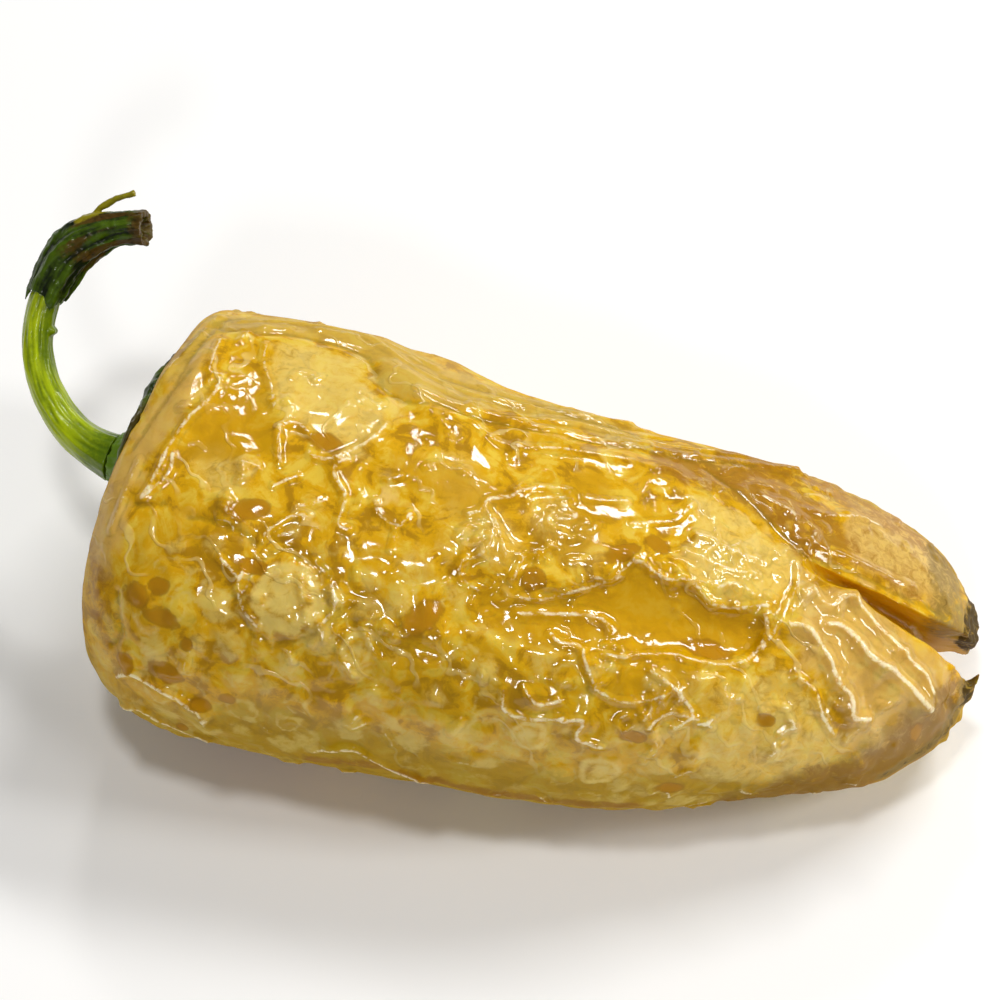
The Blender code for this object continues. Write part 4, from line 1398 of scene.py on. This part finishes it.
    def stroke(self, stroke: Stroke | Patch) -> np.ndarray:
        """How much each point is under a soft stroke, from 0 to 1.

        Args:
            stroke: The stroke, or a patch of paint.

        Returns:
            One value for each point.
        """
        under = np.zeros(len(self.x))
        numbers, distance = self.carving.near(self.path(stroke.places), 1.7 * stroke.radius)
        under[numbers] = 1 - smooth_step(distance / stroke.radius, 0.5, 1.6)
        return under

    def paint_patches(self) -> None:
        """Paints the soft strokes that the photograph shows."""
        for patch in PATCHES:
            self.carving.paint_over(patch.paint, patch.strength * self.stroke(patch))

    def paint_far_side(self) -> None:
        """Paints the sides that the photograph doesn't show, in the same mix of colours."""
        hidden = np.maximum(smooth_step(-self.around, 62, 80), smooth_step(self.around, 104, 118))
        for paint, (grain, offset, low, strength) in FAR_SIDE.items():
            cloud = smooth_step(noise_at(self.carving.points, grain, offset), low, low + 0.3)
            self.carving.paint_over(paint, strength * hidden * cloud)

    def paint_cleft(self) -> None:
        """Paints the bare flesh on the walls of the cleft between the lobes."""
        x, y, z = self.carving.points.T
        middle = 12.1 - 0.24 * (x - 27.0) - 0.35 * z
        width = np.interp(x, (25.5, 32.0, 38.0, 40.5, 48.0), (0.8, 1.3, 2.2, 3.0, 6.5))
        inside = 1 - smooth_step(np.abs(y - middle) - width / 2, 0.0, 0.45)
        inside *= smooth_step(x, 26.0, 27.0)
        self.carving.paint_over(Paint.FLESH, inside)
        for paint in (Paint.BROWN, Paint.CREAM, Paint.PEACH, Paint.CREST, Paint.SHADE):
            self.carving.mask(paint)[:] *= 1 - inside

    def draw_hook(self) -> None:
        """Draws the near lobe's scorched tip up into a thin hook."""
        points = self.carving.points
        lobe = (self.around > self.hook_lobe[0]) & (self.around < self.hook_lobe[1])
        tip = points[lobe][np.argmax(self.x[lobe])]
        pull = np.exp(-(np.linalg.norm(points - tip, axis=1) / self.hook_radius) ** 2)
        self.carving.paint_over(Paint.CHAR, pull)
        points += pull[:, None] * np.array(self.hook_reach)


@dataclass
class Calyx(GrownPiece):
    """The green cap in the pod's shoulder.

    Sizes are in millimetres.

    Args:
        middle: Where the stem grows from it.
        vein_height: How high its veins and its unevenness stand.
        tooth_angle: The direction of its tall tooth, in radians round its middle.
        tooth_height: How much taller that tooth is than its solid.
        collar_height: How much the collar round the stem stands out.
    """

    node: str = "calyx"
    slot: str = "calyx_green"
    voxel_mm: float = 0.16
    smoothing: int = 2
    middle: tuple[float, float, float] = (-39.9, 4.0, 20.5)
    vein_height: float = 0.12
    tooth_angle: float = 0.5
    tooth_height: float = 1.0
    collar_height: float = 0.3

    def carve(self, carving: Carving) -> None:
        """Carves and paints the calyx.

        Args:
            carving: Its points.
        """
        offset = carving.points - np.array(self.middle)
        angle = np.arctan2(offset[:, 2], offset[:, 1])
        reach = np.linalg.norm(offset, axis=1)
        veins = np.cos(6 * angle + 0.4) ** 8 + 0.5 * np.cos(15 * angle + 1.0) ** 4
        carving.relief += self.vein_height * veins * smooth_step(reach, 2.5, 5.0)
        fine = 0.08 * noise_at(carving.points, 0.5, 4.0)
        carving.relief += self.vein_height * noise_at(carving.points, 1.1) + fine
        carving.relief += self.collar_height * (1 - smooth_step(reach, 3.0, 5.0))
        tooth = smooth_step(np.cos(angle - self.tooth_angle), 0.4, 0.85) * smooth_step(reach, 4.5, 8.0)
        carving.relief += self.tooth_height * tooth * smooth_step(-carving.normals[:, 0], -0.3, 0.3)
        carving.paint_over(Paint.RIB, np.clip(0.6 * veins, 0, 1))
        carving.paint_over(Paint.ALONG, 1 - smooth_step(reach, 4.0, 6.5))
        carving.paint_over(Paint.BROWN, smooth_step(reach, 8.5, 11.0))


@dataclass
class Hook:
    """The stem's hook, which the stem and the sheath follow, in millimetres.

    Args:
        base: Where it leaves the calyx.
        lean: How far its plane leans over from the floor, in radians.
        out: The direction in which it leaves.
        straight: How far it runs straight first.
        radius: The radius of its bend.
    """

    base: Vector = field(default_factory=lambda: Vector((-39.9, 4.0, 20.5)))
    lean: float = math.radians(40)
    out: Vector = field(default_factory=lambda: Vector((-0.989, 0.095, -0.112)))
    straight: float = 2.1
    radius: float = 11.85

    def __post_init__(self) -> None:
        """Works out the hook's own directions."""
        self.rise = Vector((0.0, math.cos(self.lean), math.sin(self.lean)))
        self.out = (self.out - self.out.dot(self.rise) * self.rise).normalized()
        self.across = self.out.cross(self.rise)
        self.middle = self.base + self.out * self.straight + self.rise * self.radius

    def read(self, points: np.ndarray) -> tuple[np.ndarray, np.ndarray]:
        """Finds where points are along and round the hook.

        Args:
            points: The points, in millimetres.

        Returns:
            Degrees along the hook, and the angle round its centreline in radians.
        """
        offset = points - np.array(self.middle)
        ahead, up = offset @ np.array(self.out), offset @ np.array(self.rise)
        turn = np.arctan2(ahead, -up)
        outward = np.hypot(ahead, up) - self.radius
        return np.degrees(turn), np.arctan2(offset @ np.array(self.across), outward)


@dataclass
class Stem(GrownPiece):
    """The hooked stem with its fine ribs.

    Sizes are in millimetres.

    Args:
        hook: The hook that it follows.
        fibre_height: How high its fibres stand.
        swell_height: How uneven its thickness is.
        foot: How much its inner side stands out where it leaves the calyx.
        knob: Where its small knob is: degrees along the hook, and radians round it.
        knob_height: How far the knob stands out.
    """

    node: str = "stem"
    slot: str = "stem_green"
    voxel_mm: float = 0.11
    smoothing: int = 3
    hook: Hook = field(default_factory=Hook)
    fibre_height: float = 0.07
    swell_height: float = 0.12
    foot: float = 0.5
    knob: tuple[float, float] = (88.0, 3.0)
    knob_height: float = 0.45

    def carve(self, carving: Carving) -> None:
        """Carves and paints the stem.

        Args:
            carving: Its points.
        """
        degrees, angle = self.hook.read(carving.points)
        unrolled = np.stack((np.cos(angle), np.sin(angle), degrees / 70), axis=1)
        fibres = noise_at(unrolled, 0.3) + 0.7 * noise_at(unrolled, 0.13, 3.0)
        carving.relief += self.fibre_height * fibres
        carving.relief += self.swell_height * noise_at(carving.points, 2.2, 2.0)
        facing = smooth_step(-carving.normals @ np.array(self.hook.out), 0.3, 0.8)
        carving.relief += self.foot * facing * (1 - smooth_step(degrees, 3, 8))
        knob_degrees, knob_angle = self.knob
        aside = np.hypot((degrees - knob_degrees) / 3.5, (np.abs(angle) - knob_angle) / 0.5)
        carving.relief += self.knob_height * (1 - smooth_step(aside, 0.2, 1.0))
        carving.paint_over(Paint.RIB, 0.55 + 0.6 * fibres)
        carving.paint_over(Paint.ALONG, 1 - smooth_step(degrees, 0, 45))
        # Painted shade on the inner side of the hook's upper part, and a darker olive where the stem runs
        # into the sheath.
        inner_side_shade = smooth_step(-np.cos(angle), 0.15, 0.8) * smooth_step(degrees, 45, 80)
        carving.paint_over(Paint.OLIVE, np.maximum(smooth_step(degrees, 104, 116), 0.9 * inner_side_shade))


@dataclass
class Sheath(GrownPiece):
    """The withered sheath round the stem's cut end.

    Sizes are in millimetres, and places along the hook in degrees.

    Args:
        hook: The hook that it follows.
        pleat_height: How high its pleats stand.
        fray_height: How ragged its cut end is.
        strip_out: From where to where outside the hook's middle the torn strip begins.
    """

    node: str = "stem_sheath"
    slot: str = "withered_green"
    voxel_mm: float = 0.09
    smoothing: int = 2
    hook: Hook = field(default_factory=Hook)
    pleat_height: float = 0.2
    fray_height: float = 0.25
    strip_out: tuple[float, float] = (13.6, 14.4)

    def carve(self, carving: Carving) -> None:
        """Carves and paints the sheath.

        Args:
            carving: Its points.
        """
        degrees, angle = self.hook.read(carving.points)
        unrolled = np.stack((np.cos(angle), np.sin(angle), degrees / 60), axis=1)
        pleats = noise_at(unrolled, 0.33, 8.0) + 0.5 * noise_at(unrolled, 0.14, 2.0)
        carving.relief += self.pleat_height * pleats + 0.08 * noise_at(carving.points, 0.6)
        cut_end = smooth_step(degrees, 160, 175)
        carving.relief += self.fray_height * noise_at(carving.points, 1.0, 9.0) * cut_end
        carving.paint_over(Paint.RIB, 0.4 + 0.9 * pleats)
        withered = 0.8 * smooth_step(noise_at(unrolled, 0.5, 12.0), 0.0, 0.4) * smooth_step(degrees, 118, 140)
        carving.paint_over(Paint.BROWN, np.maximum(smooth_step(degrees, 158, 172), withered))
        offset = carving.points - np.array(self.hook.middle)
        outside = np.hypot(offset @ np.array(self.hook.out), offset @ np.array(self.hook.rise))
        strip = smooth_step(outside, *self.strip_out) * smooth_step(degrees, 138, 142)
        carving.paint_over(Paint.PEACH, strip)


@dataclass(frozen=True)
class PaleFloor:
    """White laminate: a plain matt board, with the faintest unevenness.

    Args:
        colour: Its colour.
        shaded: Its colour in the faint clouds.
        roughness: Its roughness.
        sheen: How much light it throws back.
        grain: The size of the clouds.
    """

    colour: str = "#FBFAF8"
    shaded: str = "#F8F7F5"
    roughness: float = 0.6
    sheen: float = 0.2
    grain: float = 40 * MM

    def material(self) -> bpy.types.Material:
        """Builds the finish.

        Returns:
            The material.
        """
        made, shader, place = start_material("white_laminate")
        tree = made.node_tree
        cloud = add_node(tree, "ShaderNodeTexNoise", {"Vector": place, "Scale": 1 / self.grain})
        shade = add_node(tree, "ShaderNodeMixRGB", {
            0: cloud.outputs[0], 1: linear(self.colour), 2: linear(self.shaded)})
        fill(tree, shader, {
            "Base Color": shade.outputs[0], "Roughness": self.roughness, "Specular IOR Level": self.sheen})
        return made


@dataclass(frozen=True)
class Lamp:
    """A rectangular softbox.

    Args:
        side: Which light of the studio it is.
        place: Where it stands, in metres.
        size: Its width and height in metres.
        watts: Its power.
    """

    side: Side
    place: tuple[float, float, float]
    size: tuple[float, float]
    watts: float


@dataclass
class Studio:
    """The floor, the lights and the camera.

    Lengths are in metres.

    Args:
        azimuth: The camera's direction, in degrees from the -Y side towards +X.
        elevation: Its height above the horizon, in degrees.
        distance: How far it stands from its aim.
        span: How much it sees across, at its aim.
        sensor: The width of its sensor, in millimetres.
        aim: The point that it looks at.
        floor_size: The length of the floor's sides.
        floor_gap: How far the floor lies under the pod.
        world_strength: How bright the room is.
        lamps: The softboxes.
    """

    azimuth: float = 12.0
    elevation: float = 58.0
    distance: float = 420 * MM
    span: float = 100 * MM
    sensor: float = 36.0
    aim: tuple[float, float, float] = (-4.42 * MM, 6.86 * MM, 21.27 * MM)
    floor_size: float = 3.0
    floor_gap: float = 0.02 * MM
    world_strength: float = 0.14
    lamps: tuple[Lamp, ...] = (
        Lamp(Side.KEY, (0.30, 0.49, 0.72), (0.40, 0.11), 4.1),
        Lamp(Side.BACK, (-0.14, 0.62, 0.60), (0.10, 0.10), 0.9),
        Lamp(Side.RIGHT, (0.60, 0.06, 0.40), (0.10, 0.26), 1.7),
        Lamp(Side.TOP, (-0.05, -0.12, 1.0), (0.12, 0.12), 2.4),
        Lamp(Side.FRONT, (0.08, -0.68, 0.62), (0.10, 0.10), 1.2),
    )

    def build(self, finish: PaleFloor) -> None:
        """Sets up the studio.

        Args:
            finish: The floor's material.
        """
        self.lay_floor(finish)
        for lamp in self.lamps:
            self.hang(lamp)
        self.light_room()
        self.set_camera()

    def lay_floor(self, finish: PaleFloor) -> None:
        """Lays the floor just under the pod."""
        bpy.ops.object.select_all(action="DESELECT")
        bpy.ops.mesh.primitive_plane_add(size=self.floor_size, location=(0, 0, -self.floor_gap))
        floor = bpy.context.active_object
        floor.name = "floor"
        floor.data.materials.append(finish.material())

    def hang(self, lamp: Lamp) -> None:
        """Hangs one lamp, turned to the pod."""
        light = bpy.data.lights.new(lamp.side.value, "AREA")
        light.shape = "RECTANGLE"
        light.size, light.size_y = lamp.size
        light.energy = lamp.watts
        holder = bpy.data.objects.new(lamp.side.value, light)
        holder.location = lamp.place
        holder.rotation_euler = (-Vector(lamp.place)).to_track_quat("-Z", "Y").to_euler()
        bpy.context.scene.collection.objects.link(holder)

    def light_room(self) -> None:
        """Fills the room with soft white light."""
        world = bpy.data.worlds.new("soft_room")
        world.use_nodes = True
        background = world.node_tree.nodes["Background"]
        background.inputs["Color"].default_value = linear("#FFFFFF")
        background.inputs["Strength"].default_value = self.world_strength
        bpy.context.scene.world = world
        bpy.context.scene.view_settings.view_transform = "Standard"

    def set_camera(self) -> None:
        """Sets the camera at the photograph's angle."""
        turn, tilt = math.radians(self.azimuth), math.radians(self.elevation)
        right = Vector((math.cos(turn), math.sin(turn), 0.0))
        back = Vector((math.sin(turn) * math.cos(tilt), -math.cos(turn) * math.cos(tilt), math.sin(tilt)))
        up = back.cross(right)
        data = bpy.data.cameras.new("camera")
        data.sensor_width = self.sensor
        data.lens = self.sensor * self.distance / self.span
        data.clip_start = 0.01
        camera = bpy.data.objects.new("camera", data)
        camera.matrix_world = Matrix.Translation(Vector(self.aim) + back * self.distance) @ Matrix(
            (right, up, back)).transposed().to_4x4()
        bpy.context.scene.collection.objects.link(camera)
        bpy.context.scene.camera = camera


def main() -> None:
    """Builds the studio and the pepper, piece by piece."""
    logging.basicConfig(level=logging.INFO, format="%(name)s: %(message)s")
    Studio().build(PaleFloor())
    Pod().build(RoastedSkin())
    Calyx().build(GreenStalk(
        "dark_calyx", "#26360A", "#566E1A",
        (Layer(Paint.ALONG, "#64841A", 0.1, 0.9, 0.9, 0.5),
         Layer(Paint.BROWN, "#4A3A12", 0.3, 0.9, 0.7, 0.6)),
        roughness=0.5, wetness=0.3))
    Stem().build(GreenStalk(
        "green_stem", "#6E8200", "#B2C400",
        (Layer(Paint.ALONG, "#446200", 0.1, 0.9, 0.85, 0.8),
         # Olive, partly painted shade on the inner side of the hook.
         Layer(Paint.OLIVE, "#425C00", 0.15, 0.9, 0.75, 0.8)),
        roughness=0.38, wetness=0.45))
    Sheath().build(GreenStalk(
        "withered_sheath", "#0C1600", "#445C00",
        (Layer(Paint.BROWN, "#50380A", 0.2, 0.8, 0.85, 1.2),
         Layer(Paint.PEACH, "#8F8310", 0.3, 0.8, 0.9, 0.8)),
        roughness=0.5, wetness=0.3))


if __name__ == "__main__":
    main()
